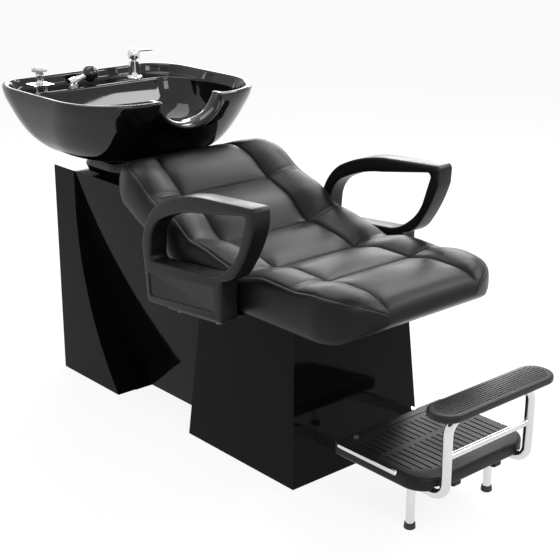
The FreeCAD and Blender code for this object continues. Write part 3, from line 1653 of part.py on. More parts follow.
def spray_socket():
    deck = s.basin_deck_height
    foot_across = socket_foot_across()
    tube = Part.makeCylinder(float(s.socket_radius), float(s.socket_length),
                             along_spray(s.spray_handle_length + s.fit_gap), spray_axis)
    saddle = Part.makeCylinder(float(s.socket_radius), float(s.socket_radius),
                               vec(foot_across, s.spray_place, deck))
    foot = Part.makeCylinder(float(s.socket_foot_radius), float(s.socket_radius) / 3,
                             vec(foot_across, s.spray_place, deck))
    stud = Part.makeCylinder(float(s.socket_radius) / 2, float(s.mixer_shank_length),
                             vec(foot_across, s.spray_place, deck), Vector(0, 0, -1))
    wide = 4 * s.socket_length
    under = Part.makeBox(float(wide), float(wide), float(s.socket_length),
                         vec(foot_across - wide / 2, s.spray_place - wide / 2,
                             deck - s.socket_length))
    bore = Part.makeCylinder(float(s.spray_handle_radius + s.fit_gap),
                             float(s.spray_handle_length),
                             along_spray(s.spray_handle_length), spray_axis)
    socket = tube.fuse([saddle, foot]).cut(under).cut(bore).fuse(stud)
    socket = socket.removeSplitter()
    return form("socket_form", socket.Solids[0])


# Vacuum breaker: a square plate on two legs with a column and a mushroom cap

def breaker_base():
    deck = s.basin_deck_height
    plate = s.breaker_plate_height
    body = new_body("breaker_base_body")
    legs = new_sketch(body, "breaker_legs", "XY_Plane", deck)
    studs = new_sketch(body, "breaker_studs", "XY_Plane", deck)
    for x in breaker_leg_places():
        circle(legs, x, s.breaker_place, s.breaker_leg_radius)
        circle(studs, x, s.breaker_place, s.breaker_leg_radius / 2)
    half = s.breaker_plate_size / 2
    corner = s.breaker_plate_thickness
    plan = new_sketch(body, "breaker_plan", "XY_Plane", plate)
    rounded(plan, s.breaker_across - half, s.breaker_across + half,
            s.breaker_place - half, s.breaker_place + half, corner, corner)
    pad(body, plan, s.breaker_plate_thickness)
    pad(body, legs, plate - deck)
    pad(body, studs, s.mixer_shank_length, backwards=True)
    return body


def breaker_valve():
    body = new_body("breaker_valve_body")
    half = new_sketch(body, "breaker_half", "XZ_Plane", 0)
    foot = s.breaker_plate_height + s.breaker_plate_thickness
    cap = foot + s.breaker_body_height
    top = cap + s.breaker_cap_height
    edge = s.breaker_cap_height / 3
    outline(half, [
        (0, foot),
        (s.breaker_body_radius, foot),
        (s.breaker_body_radius, cap),
        (s.breaker_cap_radius, cap),
        (s.breaker_cap_radius, cap + edge),
        (s.breaker_cap_radius * 2 / 3, top - edge / 3),
        (0, top),
    ])
    spin(body, half)
    return body


# Footrest: two bars from the pedestal's frame, legs, a hollow step plate and its trims

def footrest_bar(side):
    name = "left" if side < 0 else "right"
    body = new_body(f"bar_{name}_body")
    low = s.bar_top - s.bar_height
    inner = side * s.bar_inner
    bar = new_sketch(body, f"bar_{name}_side", "YZ_Plane", inner)
    rectangle(bar, s.bar_front, s.bar_rear, low, s.bar_top)
    pad(body, bar, s.bar_width, backwards=side < 0)
    ear = new_sketch(body, f"bar_{name}_ear", "YZ_Plane", inner)
    half = s.rest_ear_depth / 2
    outline(ear, [
        (s.rest_ear_rear, s.rest_pivot_height - half),
        (s.rest_ear_rear, s.rest_pivot_height + half),
        (s.rest_pivot_place, s.rest_pivot_height + half, half),
        (s.rest_pivot_place - half, s.rest_pivot_height, half),
        (s.rest_pivot_place, s.rest_pivot_height - half),
    ])
    circle(ear, s.rest_pivot_place, s.rest_pivot_height, s.rest_pin_radius + s.fit_gap)
    pad(body, ear, s.rest_ear_thickness, backwards=side > 0)
    hole = new_sketch(body, f"bar_{name}_screw_hole", "XY_Plane", s.bar_top + s.cut_overrun)
    circle(hole, side * (s.bar_inner + s.bar_width / 2), s.step_screw_place,
           s.step_screw_radius + s.screw_gap)
    pocket(body, hole, s.step_screw_length + s.cut_overrun)
    return body


def footrest_leg(side):
    name = "left" if side < 0 else "right"
    body = new_body(f"leg_{name}_body")
    ring = new_sketch(body, f"leg_{name}_ring", "XY_Plane", s.foot_sole)
    circle(ring, side * s.leg_across, s.leg_place, s.leg_radius)
    circle(ring, side * s.leg_across, s.leg_place, s.leg_radius - s.drain_wall)
    pad(body, ring, s.bar_top - s.bar_height - s.foot_sole)
    return body


def rubber_foot(side):
    name = "left" if side < 0 else "right"
    body = new_body(f"foot_{name}_body")
    half = new_sketch(body, f"foot_{name}_half", "XZ_Plane", 0)
    bore = s.leg_radius + s.fit_gap
    outline(half, [
        (0, 0),
        (s.foot_radius - s.drain_wall, 0),
        (s.foot_radius, 0 + s.drain_wall),
        (bore + s.drain_wall, s.foot_height),
        (bore, s.foot_height),
        (bore, s.foot_sole),
        (0, s.foot_sole),
    ])
    spin(body, half)
    return body


def step_outline(sketch, inset):
    rear_round = s.step_rear_corner - inset
    front_round = s.step_front_corner - inset
    rounded(sketch, -(s.step_half_width - inset), s.step_half_width - inset,
            s.step_front + inset, s.step_rear - inset, front_round, rear_round)


def step_plate():
    body = new_body("step_body")
    plan = new_sketch(body, "step_plan", "XY_Plane", s.step_floor)
    step_outline(plan, 0 * s.step_wall)
    pad(body, plan, s.step_top - s.step_floor)
    hollow = new_sketch(body, "step_hollow", "XY_Plane", s.step_floor - s.cut_overrun)
    step_outline(hollow, s.step_wall)
    roof = s.step_top - s.step_roof
    pocket(body, hollow, roof - s.step_floor + s.cut_overrun, backwards=True)
    ledge = new_sketch(body, "step_ledge", "XY_Plane", roof)
    for side in (-1, 1):
        near = side * s.bar_inner
        far = side * (s.bar_inner + s.bar_width + s.step_wall)
        rectangle(ledge, *((near, far) if side > 0 else (far, near)),
                  s.rest_ear_rear + s.screw_gap + s.step_wall, s.step_rear - s.step_wall / 2)
    pad(body, ledge, roof - s.bar_top, backwards=True)
    rear = new_sketch(body, "step_rear_slots", "XZ_Plane", -(s.step_rear - 2 * s.step_wall))
    front = new_sketch(body, "step_front_slots", "XZ_Plane", -(s.step_front - s.step_wall))
    for side in (-1, 1):
        bar = side * (s.bar_inner + s.bar_width / 2)
        reach = s.bar_width / 2 + s.screw_gap
        rectangle(rear, bar - reach, bar + reach, s.step_floor - s.cut_overrun, s.bar_top)
        tube = side * s.rest_across
        room = s.rest_tube_radius + s.drain_wall
        rectangle(front, tube - room, tube + room, s.step_floor - s.cut_overrun, roof)
    pocket(body, rear, 4 * s.step_wall)
    pocket(body, front, s.step_front_corner)
    channel = new_sketch(body, "step_channel", "XY_Plane", s.step_top + s.cut_overrun)
    gap = s.step_rib_pitch - s.step_rib_width
    row = s.step_half_width - s.step_rib_inset
    rectangle(channel, -row, gap - row, s.step_front + s.step_rib_inset / 2,
              s.step_rear - s.step_rib_inset)
    first = pocket(body, channel, s.step_rib_height + s.cut_overrun)
    repeat(body, first, "H_Axis", 2 * row - gap, 12)
    doc.recompute()
    holes = new_sketch(body, "step_screw_holes", "XY_Plane", s.step_top + s.cut_overrun)
    for x in step_screw_places():
        circle(holes, x, s.step_screw_place, s.step_screw_radius + s.screw_gap)
    pocket(body, holes, s.step_top - s.bar_top + 2 * s.cut_overrun)
    return body


def step_screw_places():
    return [side * (s.bar_inner + s.bar_width / 2) for side in (-1, 1)]


def step_screws():
    pieces = []
    for number, x in enumerate(step_screw_places()):
        shank = cylinder(f"step_shank_{number}", s.step_screw_radius, s.step_screw_length,
                         x, s.step_screw_place, s.step_top - s.step_screw_length)
        head = cylinder(f"step_head_{number}", s.step_screw_head_radius,
                        s.step_screw_head_height, x, s.step_screw_place, s.step_top)
        pieces.append(fuse(f"step_screw_{number}", [shank, head]))
    return group("step_screw_set", pieces)


def step_strip(side):
    name = "left" if side < 0 else "right"
    high = s.step_top - s.strip_drop
    outer = s.step_half_width + s.strip_thickness
    left, right = (s.step_half_width, outer) if side > 0 else (-outer, -s.step_half_width)
    return box(f"strip_{name}_solid", left, right, s.strip_front, s.strip_rear,
               high - s.strip_height, high)


# Leg rest: one bent tube that pivots on the bars, with a crossbar, a plate and a ribbed pad

def rest_arch():
    across = float(s.rest_across)
    pivot = float(s.rest_pivot_place)
    low = float(s.rest_pivot_height)
    place = float(s.rest_place)
    low_bend = float(s.rest_low_bend)
    top_bend = float(s.rest_top_bend)
    top = float(s.rest_pad_top - s.rest_pad_thickness - s.rest_plate_thickness
                - s.rest_tube_radius)
    kinks = [math.radians(turn) for turn in (15, 45, 75)]
    reach = 1 / math.cos(kinks[0])

    def half(side):
        """Points of one leg from its eye to the top run, with three mitres in each bend."""
        x = side * across
        points = [Vector(x, pivot, low)]
        for turn in kinks:
            points.append(Vector(x, place + low_bend, low + low_bend)
                          + Vector(0, -math.sin(turn), -math.cos(turn)) * low_bend * reach)
        for turn in kinks:
            points.append(Vector(side * (across - top_bend), place, top - top_bend)
                          + Vector(side * math.cos(turn), 0, math.sin(turn)) * top_bend * reach)
        return points

    points = half(-1) + half(1)[::-1]
    spine = Part.makePolygon(points)

    def tube(radius):
        start = Part.Circle(points[0], Vector(0, 1, 0), radius)
        return spine.makePipeShell([Part.Wire([start.toShape()])], True, False, 1)

    radius = float(s.rest_tube_radius)
    pieces = []
    tools = []
    for side in (-1, 1):
        eye = vec(side * s.rest_across - s.rest_tube_radius, s.rest_pivot_place,
                  s.rest_pivot_height)
        pieces.append(Part.makeCylinder(radius, 2 * radius, eye, Vector(1, 0, 0)))
        tools.append(Part.makeCylinder(float(s.rest_pin_radius + s.fit_gap), 4 * radius,
                                       eye - Vector(radius, 0, 0), Vector(1, 0, 0)))
    pieces.append(Part.makeCylinder(float(s.crossbar_radius), 2 * across,
                                    vec(-s.rest_across, s.rest_place, s.crossbar_height),
                                    Vector(1, 0, 0)))
    thick = s.rest_plate_thickness + s.rest_tube_radius / 2
    plate = Part.makeBox(float(2 * s.rest_plate_half_width), float(s.rest_plate_depth),
                         float(thick))
    plate.translate(vec(-s.rest_plate_half_width, s.rest_place - s.rest_plate_depth / 2,
                        s.rest_pad_top - s.rest_pad_thickness - thick))
    groove = Part.makeBox(float(2 * s.rest_plate_half_width), float(s.rest_plate_depth),
                          float(s.rest_tube_radius / 2))
    groove.translate(vec(-s.rest_plate_half_width, s.rest_place - s.rest_plate_depth / 2,
                         s.rest_pad_top - s.rest_pad_thickness - thick))
    keel = Part.makeBox(float(2 * s.rest_plate_half_width), radius, float(thick))
    keel.translate(vec(-s.rest_plate_half_width, s.rest_place - s.rest_tube_radius / 2,
                       s.rest_pad_top - s.rest_pad_thickness - thick))
    pieces += [plate.cut(groove), keel]
    for x in rest_screw_places():
        for y in rest_screw_rows():
            tools.append(Part.makeCylinder(float(s.rest_screw_radius + s.screw_gap),
                                           float(s.rest_pad_thickness),
                                           vec(x, y, s.rest_pad_top - 2 * s.rest_pad_thickness)))
    solid = tube(radius).fuse(pieces)
    hollow = tube(radius - float(s.drain_wall))
    return form("rest_arch_form", solid.cut(tools + [hollow]).removeSplitter().Solids[0])


def rest_screw_places():
    return [side * s.rest_screw_across for side in (-1, 1)]


def rest_screw_rows():
    apart = (s.rest_tube_radius + s.rest_plate_depth / 2) / 2
    return [s.rest_place + end * apart for end in (-1, 1)]


def rest_pins():
    pieces = []
    inner = s.bar_inner - s.rest_ear_thickness - s.screw_gap
    outer = s.rest_across + s.rest_tube_radius + s.screw_gap
    for side, name in ((-1, "left"), (1, "right")):
        start = inner if side > 0 else -outer
        shank = cylinder(f"rest_shank_{name}", s.rest_pin_radius, outer - inner, start,
                         s.rest_pivot_place, s.rest_pivot_height, ALONG_X)
        heads = []
        for end, x in (("inner", inner - s.rest_pin_head), ("outer", outer)):
            left = x if side > 0 else -(x + s.rest_pin_head)
            heads.append(cylinder(f"rest_head_{name}_{end}", s.rest_pin_head_radius,
                                  s.rest_pin_head, left, s.rest_pivot_place,
                                  s.rest_pivot_height, ALONG_X))
        pieces.append(fuse(f"rest_pin_{name}", [shank] + heads))
    return group("rest_pin_set", pieces)


def rest_pad():
    body = new_body("rest_pad_body")
    low = s.rest_pad_top - s.rest_pad_thickness
    plan = new_sketch(body, "rest_pad_plan", "XY_Plane", low)
    corner = s.rest_pad_corner
    rounded(plan, -s.rest_pad_half_width, s.rest_pad_half_width, s.rest_pad_front,
            s.rest_pad_rear, corner, corner)
    pad(body, plan, s.rest_pad_thickness)
    groove = new_sketch(body, "rest_groove", "XY_Plane", s.rest_pad_top + s.cut_overrun)
    span = s.rest_pad_rear - s.rest_pad_front - 3 * s.rest_groove_pitch
    first = s.rest_pad_front + 3 * s.rest_groove_pitch / 2
    reach = s.rest_pad_half_width - corner / 2
    rectangle(groove, -reach, reach, first, first + s.rest_groove_width)
    cut_in = pocket(body, groove, s.rest_groove_depth + s.cut_overrun)
    repeat(body, cut_in, "V_Axis", span - s.rest_groove_width, 13)
    doc.recompute()
    holes = new_sketch(body, "rest_pad_holes", "XY_Plane", low - s.cut_overrun)
    for x in rest_screw_places():
        for y in rest_screw_rows():
            circle(holes, x, y, s.rest_screw_radius + s.screw_gap)
    pocket(body, holes, s.rest_screw_length + s.cut_overrun, backwards=True)
    return body


def rest_pad_screws():
    pieces = []
    seat = s.rest_pad_top - s.rest_pad_thickness - s.rest_plate_thickness
    for side, x in zip(("left", "right"), rest_screw_places()):
        for end, y in zip(("front", "rear"), rest_screw_rows()):
            shank = cylinder(f"pad_shank_{side}_{end}", s.rest_screw_radius,
                             s.rest_screw_length, x, y, seat)
            head = cylinder(f"pad_head_{side}_{end}", s.rest_screw_head_radius,
                            s.rest_screw_head_height, x, y, seat - s.rest_screw_head_height)
            pieces.append(fuse(f"pad_screw_{side}_{end}", [shank, head]))
    return group("pad_screw_set", pieces)


# All the sub-parts in the object's frame

node("rear_tower", rear_tower())
node("access_panel", access_panel())
node("access_screws", access_screws())
node("middle_body", middle_body())
node("front_pedestal", front_pedestal())
node("pedestal_frame", pedestal_frame())
node("seat_plate", seat_plate())
node("seat_bolts", seat_bolts())
node("seat_frame", seat_frame())
node("seat_board", seat_board(), -s.board_half_width, s.seat_board_front,
     s.cushion_floor - s.board_drop)
node("back_board", form("back_board_form", back_board_shape(0)))
node("seat_cushion", cushion())
for side, name in ((-1, "left"), (1, "right")):
    node(f"armrest_{name}", armrest(side))
    node(f"arm_bracket_{name}", arm_bracket(side))
    node(f"arm_bolts_{name}", arm_bolts(side))
    node(f"footrest_bar_{name}", footrest_bar(side))
    node(f"footrest_leg_{name}", footrest_leg(side))
    node(f"rubber_foot_{name}", rubber_foot(side), side * s.leg_across, s.leg_place)
node("basin", basin())
node("drain_tail", drain_tail())
node("drain_nut", drain_nut())
node("strainer", strainer())
node("collar", collar())
node("tilt_base", tilt_base())
node("tilt_saddle", tilt_saddle())
node("tilt_pin", tilt_pin(), -(s.tilt_half_width + s.tilt_ear_thickness), s.tilt_place,
     s.tilt_height)
node("tilt_screws", tilt_screws())
node("mixer_body", mixer_body(), s.mixer_across, s.mixer_place)
node("mixer_nut", mixer_nut())
node("mixer_cartridge", mixer_cartridge())
node("mixer_pin", mixer_pin())
node("mixer_lever", mixer_lever())
node("hand_spray", spray())
node("spray_socket", spray_socket())
node("breaker_base", breaker_base())
node("breaker_valve", breaker_valve(), s.breaker_across, s.breaker_place)
node("step_plate", step_plate())
node("step_screws", step_screws())
for side, name in ((-1, "left"), (1, "right")):
    outer = -(s.step_half_width + s.strip_thickness) if side < 0 else s.step_half_width
    node(f"step_strip_{name}", step_strip(side), outer, s.strip_front,
         s.step_top - s.strip_drop - s.strip_height)
node("rest_arch", rest_arch())
node("rest_pins", rest_pins())
node("rest_pad", rest_pad())
node("rest_pad_screws", rest_pad_screws())

doc.recompute()
for feature in doc.Objects:
    if "Invalid" in feature.State or "Error" in feature.State:
        raise RuntimeError(f"{feature.Name} is {feature.State}")
os.makedirs("parts", exist_ok=True)
for piece in nodes:
    if piece.Shape.isNull() or not piece.Shape.isValid():
        raise RuntimeError(f"{piece.Label} has no valid shape")
    if not piece.Shape.Solids:
        raise RuntimeError(f"{piece.Label} has no solid")
    piece.Shape.exportStep(f"parts/{piece.Label}.step")
    print(piece.Label, len(piece.Shape.Solids), piece.Shape.BoundBox)
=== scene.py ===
import bmesh
import bpy
import math
from mathutils import Matrix, Vector


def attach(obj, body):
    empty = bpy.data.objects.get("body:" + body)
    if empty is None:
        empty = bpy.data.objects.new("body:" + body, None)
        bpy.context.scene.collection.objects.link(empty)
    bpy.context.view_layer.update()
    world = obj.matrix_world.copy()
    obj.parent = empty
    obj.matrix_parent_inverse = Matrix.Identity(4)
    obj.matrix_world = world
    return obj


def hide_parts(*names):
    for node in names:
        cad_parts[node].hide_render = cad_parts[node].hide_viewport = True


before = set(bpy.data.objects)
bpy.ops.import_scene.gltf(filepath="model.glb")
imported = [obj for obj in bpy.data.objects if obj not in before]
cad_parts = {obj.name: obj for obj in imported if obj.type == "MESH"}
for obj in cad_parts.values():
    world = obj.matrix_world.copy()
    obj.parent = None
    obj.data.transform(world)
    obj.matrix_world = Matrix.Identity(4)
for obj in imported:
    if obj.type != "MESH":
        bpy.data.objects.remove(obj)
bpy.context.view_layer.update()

# Studio: a pale floor under a white room, five soft lamps and a camera at the front left,
# a little above the seat. None of it belongs to the object.
scene = bpy.context.scene
scene.view_settings.view_transform = "Standard"

CAMERA_PLACE = Vector((-1.967, -2.313, 1.428))
CAMERA_TURN = math.radians(-41.364)
CAMERA_RISE = math.radians(19.102)
CAMERA_ROLL = math.radians(0.245)
CAMERA_LENS, CAMERA_FILM = 80.65, 36
ROOM_LIGHT, ROOM_WHITE = 0.3, 1.0
FLOOR_HALF, FLOOR_PALE, FLOOR_ROUGH, FLOOR_GLOW, FLOOR_SHARE = 14, 0.92, 0.75, 1.1, 0.8


def shown(name, data):
    """An object in the scene for a mesh, a curve, a lamp or a camera."""
    made = bpy.data.objects.new(name, data)
    scene.collection.objects.link(made)
    return made


def placed(name, form, material=None):
    """An object from a drawn form, which is used up."""
    mesh = bpy.data.meshes.new(name)
    form.to_mesh(mesh)
    form.free()
    if material:
        mesh.materials.append(material)
    return shown(name, mesh)


def lamp(name, place, aim, size, power):
    """A soft square lamp that faces a point."""
    data = bpy.data.lights.new(name, "AREA")
    data.shape = "RECTANGLE"
    data.size, data.size_y = size
    data.energy = power
    light = shown(name, data)
    light.location = place
    light.rotation_euler = (Vector(aim) - Vector(place)).to_track_quat("-Z", "Y").to_euler()
    light.visible_camera = False


def node(tree, kind, **values):
    """A shader node with these values, where _ stands for the space in an input's name."""
    made = tree.nodes.new("ShaderNode" + kind)
    for name, value in values.items():
        made.inputs[name.replace("_", " ")].default_value = value
    return made


def seen_directly(tree):
    """A share that is 1 for what the camera, metal and glass see, and 0 for light."""
    path = node(tree, "LightPath")
    share = path.outputs["Is Camera Ray"]
    for ray in ("Is Glossy Ray", "Is Transmission Ray"):
        either = node(tree, "Math")
        either.operation = "MAXIMUM"
        tree.links.new(share, either.inputs[0])
        tree.links.new(path.outputs[ray], either.inputs[1])
        share = either.outputs["Value"]
    return share


camera_back = Vector((math.sin(CAMERA_TURN) * math.cos(CAMERA_RISE),
                      -math.cos(CAMERA_TURN) * math.cos(CAMERA_RISE), math.sin(CAMERA_RISE)))
camera_right = Vector((math.cos(CAMERA_TURN), math.sin(CAMERA_TURN), 0))
camera_up = camera_back.cross(camera_right)
rolled_right = camera_right * math.cos(CAMERA_ROLL) + camera_up * math.sin(CAMERA_ROLL)
rolled_up = camera_up * math.cos(CAMERA_ROLL) - camera_right * math.sin(CAMERA_ROLL)
camera_data = bpy.data.cameras.new("camera")
camera_data.lens = CAMERA_LENS
camera_data.sensor_width = CAMERA_FILM
camera = shown("camera", camera_data)
camera.matrix_world = (Matrix.Translation(CAMERA_PLACE)
                       @ Matrix((rolled_right, rolled_up, camera_back)).transposed().to_4x4())
scene.camera = camera

lamp("lamp_front", (-1.2, -3.2, 2.9), (0, -0.3, 0.4), (1.8, 1.2), 42)
lamp("lamp_side", (2.4, -1.7, 2.6), (0, -0.5, 0.4), (1.3, 0.7), 38)
lamp("lamp_right", (2.05, 0.4, 2.8), (0, -0.4, 0.5), (1.6, 0.6), 46)
lamp("lamp_top", (-0.3, 1.3, 3.1), (0, 0, 0.5), (2.6, 1.2), 32)
lamp("lamp_back", (2.0, 2.2, 1.4), (0, -0.1, 0.5), (2.6, 0.7), 36)

world = bpy.data.worlds.new("white_room")
scene.world = world
world.use_nodes = True
room = world.node_tree
room.nodes.clear()
room_mix = node(room, "MixShader")
room.links.new(seen_directly(room), room_mix.inputs["Fac"])
for slot, strength in ((1, ROOM_LIGHT), (2, ROOM_WHITE)):
    room_glow = node(room, "Background", Color=(1, 1, 1, 1), Strength=strength)
    room.links.new(room_glow.outputs["Background"], room_mix.inputs[slot])
room_out = node(room, "OutputWorld")
room.links.new(room_mix.outputs["Shader"], room_out.inputs["Surface"])

floor_sheet = bmesh.new()
bmesh.ops.create_grid(floor_sheet, x_segments=2, y_segments=2, size=FLOOR_HALF)
floor_paint = bpy.data.materials.new("floor_paint")
floor_paint.use_nodes = True
paint = floor_paint.node_tree
paint_skin = paint.nodes["Principled BSDF"]
paint_skin.inputs["Base Color"].default_value = (FLOOR_PALE, FLOOR_PALE, FLOOR_PALE, 1)
paint_skin.inputs["Roughness"].default_value = FLOOR_ROUGH
paint_glow = node(paint, "Emission", Strength=FLOOR_GLOW)
paint_amount = node(paint, "Math")
paint_amount.operation = "MULTIPLY"
paint_amount.inputs[1].default_value = FLOOR_SHARE
paint_mix = node(paint, "MixShader")
paint.links.new(seen_directly(paint), paint_amount.inputs[0])
paint.links.new(paint_amount.outputs["Value"], paint_mix.inputs["Fac"])
paint.links.new(paint_skin.outputs["BSDF"], paint_mix.inputs[1])
paint.links.new(paint_glow.outputs["Emission"], paint_mix.inputs[2])
paint.links.new(paint_mix.outputs["Shader"], paint.nodes["Material Output"].inputs["Surface"])
floor = placed("floor", floor_sheet, floor_paint)

# Tower, middle body and pedestal: boards and moulded shells with a polished black skin, set
# edge to edge. Their corners are slightly broken and the skin shows faint smears.


def finish(name, dark, light, patch, smooth, rough, grain, depth, metal=0.0, stretch=(1, 1, 1),
           shine=0.5):
    """A finish whose colour and gloss drift in patches, with a fine grain on its surface."""
    made = bpy.data.materials.new(name)
    made.use_nodes = True
    tree, links = made.node_tree, made.node_tree.links
    skin = tree.nodes["Principled BSDF"]
    skin.inputs["Metallic"].default_value = metal
    skin.inputs["Specular IOR Level"].default_value = shine
    place = node(tree, "TexCoord")
    pull = node(tree, "Mapping", Scale=stretch)
    links.new(place.outputs["Object"], pull.inputs["Vector"])
    drift = node(tree, "TexNoise", Scale=patch, Detail=5)
    low, high = 0.3, 0.72
    tint = node(tree, "ValToRGB")
    for stop, position, colour in zip(tint.color_ramp.elements, (low, high), (dark, light)):
        stop.position = position
        stop.color = (*colour, 1)
    gloss = node(tree, "MapRange", From_Min=low, From_Max=high, To_Min=smooth, To_Max=rough)
    fine = node(tree, "TexNoise", Scale=grain, Detail=3)
    bump = node(tree, "Bump", Strength=1.0, Distance=depth)
    for texture in (drift, fine):
        links.new(pull.outputs["Vector"], texture.inputs["Vector"])
    links.new(drift.outputs["Fac"], tint.inputs["Fac"])
    links.new(drift.outputs["Fac"], gloss.inputs["Value"])
    links.new(tint.outputs["Color"], skin.inputs["Base Color"])
    links.new(gloss.outputs["Result"], skin.inputs["Roughness"])
    links.new(fine.outputs["Fac"], bump.inputs["Height"])
    links.new(bump.outputs["Normal"], skin.inputs["Normal"])
    return made


def dress(material, edge, *names):
    """Give CAD nodes a finish and break their sharp edges."""
    for name in names:
        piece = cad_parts[name]
        for place in piece.material_slots:
            place.material = material
        rounding = piece.modifiers.new("broken_edges", "BEVEL")
        rounding.width = edge
        rounding.segments = 2
        rounding.limit_method = "ANGLE"
        rounding.angle_limit = math.radians(35)
        rounding.use_clamp_overlap = True


polished_black = finish("polished_black", (0.003, 0.003, 0.0033), (0.005, 0.005, 0.0054),
                        3.0, 0.05, 0.09, 9, 0.0004, shine=0.06)
dress(polished_black, 0.0015, "rear_tower", "middle_body", "front_pedestal")
dress(polished_black, 0.0008, "access_panel")

# Inner frame: welded steel tube in satin black powder coat, zinc-plated bolts and screws,
# and two plywood boards under the cushion.
powder_coat = finish("powder_coat", (0.016, 0.016, 0.016), (0.03, 0.03, 0.03),
                     9.0, 0.42, 0.55, 900, 0.00012)
dress(powder_coat, 0.001, "pedestal_frame", "seat_plate", "seat_frame", "arm_bracket_left",
      "arm_bracket_right", "tilt_base", "tilt_saddle")
zinc = finish("zinc", (0.42, 0.42, 0.43), (0.66, 0.66, 0.67), 60, 0.24, 0.42, 700, 0.0001,
              metal=1.0, stretch=(1, 1, 6))
dress(zinc, 0.0006, "seat_bolts", "arm_bolts_left", "arm_bolts_right", "access_screws",
      "tilt_screws", "tilt_pin", "step_screws", "rest_pins", "rest_pad_screws", "mixer_pin")
ply = finish("ply", (0.30, 0.19, 0.10), (0.52, 0.37, 0.22), 16, 0.55, 0.75, 240, 0.0003,
             stretch=(1, 8, 8))
dress(ply, 0.0008, "seat_board", "back_board")

# Seat cushion: one long moulded foam in black artificial leather, sewn from a middle panel
# and two side bolsters. The cover is drawn tight over the foam by its seams, is stitched
# twice along the edge and is stapled to two boards below.

# Millimetres from the floor under the pedestal's front edge, as in the part's own source,
# whose drawing is moved by this shift to the frame
ROW_SHIFT = 370
CUSHION_FRONT, CUSHION_HEAD, CUSHION_FLOOR, CUSHION_RISE = -228, 657, 411, 264
CUSHION_DEPTH, CUSHION_EDGE, CUSHION_SEAM, CUSHION_INNER = 108, 258, 240, 141
CUSHION_LENGTH = CUSHION_HEAD - CUSHION_FRONT
BACK_LEAN, EDGE_RISE = 26, 25
CROSS_SEAMS = (0.231, 0.434, 0.638, 0.820)
# Shares along the seat of height, slope, depth, width and inner width, and the edge's rise
CUSHION_ROWS = (
    (0.000, 0.242, 0.00, 0.055, 0.55, 0.93, 0.00), (0.0035, 0.279, 0.00, 0.210, 0.60, 0.99, 0.00),
    (0.015, 0.331, 0.00, 0.425, 0.72, 1.02, 0.00),
    (0.043, 0.383, 0.00, 0.694, 0.87, 1.02, 0.00), (0.088, 0.405, 0.00, 0.944, 0.96, 1.00, 0.00),
    (0.145, 0.409, 0.00, 1.000, 1.00, 0.99, 0.00), (0.231, 0.364, 0.00, 0.889, 1.00, 0.97, 0.15),
    (0.332, 0.367, 0.12, 0.898, 1.00, 0.95, 0.25), (0.434, 0.303, 0.23, 0.744, 1.00, 0.93, 0.30),
    (0.485, 0.345, 0.38, 0.857, 1.00, 0.94, 0.40), (0.532, 0.371, 0.54, 0.935, 1.00, 0.96, 0.50),
    (0.585, 0.392, 0.70, 0.880, 1.00, 0.98, 0.75), (0.638, 0.394, 0.85, 0.684, 1.00, 1.00, 1.00),
    (0.724, 0.591, 0.96, 0.807, 1.00, 1.00, 0.60), (0.820, 0.716, 1.00, 0.736, 1.00, 1.00, 0.40),
    (0.900, 0.894, 1.00, 0.839, 0.99, 0.99, 0.30), (0.967, 0.970, 1.00, 0.593, 0.90, 0.90, 0.10),
    (0.990, 0.973, 1.00, 0.370, 0.80, 0.80, 0.00), (1.000, 0.958, 1.00, 0.167, 0.70, 0.70, 0.00))
# Where the cover's rows of points lie: at the front roll, between the seams and at the head
FRONT_ROWS = (0.0, 0.0008, 0.002, 0.0035, 0.006, 0.010, 0.015)
PANEL_ENDS, PANEL_ROWS = (0.015, *CROSS_SEAMS, 0.985), (34, 32, 32, 30, 26)
HEAD_ROWS = (0.992, 0.997, 1.0)
# How far the cover swells between its seams and is drawn in at them, and over what width
PANEL_SWELL, PANEL_CROWN, SWELL_WIDE = 5, 2.5, 15
BOLSTER_SWELL, BOLSTER_CROWN, BOLSTER_FULL = 9.5, 3, 60
CREASE_DEEP, CREASE_WIDE, VALLEY_DEEP, VALLEY_WIDE = 4.2, 3.4, 5.5, 4
PINCH_DEEP, FOLD_DEEP, FOLD_WIDE, FOLD_START, FOLD_REACH = 2.2, 3.4, 3.2, 2, 8
# Room for the boards in the base: half width, then front, rear and depth of each
BOARD_HALF, BOARD_ROOMS = 203, ((-128, 248, 11.5), (334, 584, 13.5))
# The swelling of the cover, in metres, and the frames it takes
SWELL_FRAMES, SWELL_LIMIT, SWELL_STILL, SWELL_EVENED = 20, 0.024, 0.0002, 8
# Millimetres from a seam within which the cloth is held
SEAM_HOLD = 9


def eased(xs, ys, x):
    """A smooth curve through points that never swings past them."""
    steps = [(b - a) for a, b in zip(xs, xs[1:])]
    slopes = [(b - a) / h for a, b, h in zip(ys, ys[1:], steps)]
    grades = [slopes[0]]
    for before, after in zip(slopes, slopes[1:]):
        same_way = before * after > 0
        grades.append(2 * before * after / (before + after) if same_way else 0)
    grades.append(slopes[-1])
    spot = max(0, min(len(steps) - 1, sum(1 for edge in xs[1:-1] if x >= edge)))
    h, t = steps[spot], (x - xs[spot]) / steps[spot]
    return (ys[spot] * (1 + 2 * t) * (1 - t) ** 2 + grades[spot] * h * t * (1 - t) ** 2
            + ys[spot + 1] * t * t * (3 - 2 * t) - grades[spot + 1] * h * t * t * (1 - t))


def seam_shares(first, last, count, both=True):
    """Shares from first to last, drawn together towards both ends or the last."""
    made = []
    for step in range(count + 1):
        t = step / count
        t = 0.5 - 0.5 * math.cos(math.pi * t) if both else math.sin(math.pi * t / 2)
        made.append(first + (last - first) * t)
    return made


def seam_gap(along):
    """Millimetres to the nearest seam across the cushion."""
    return min(abs(along - share) for share in CROSS_SEAMS) * CUSHION_LENGTH


def bell(gap, wide):
    """A soft bump that is 1 at the middle and fades over a width."""
    return math.exp(-(gap / wide) ** 2)


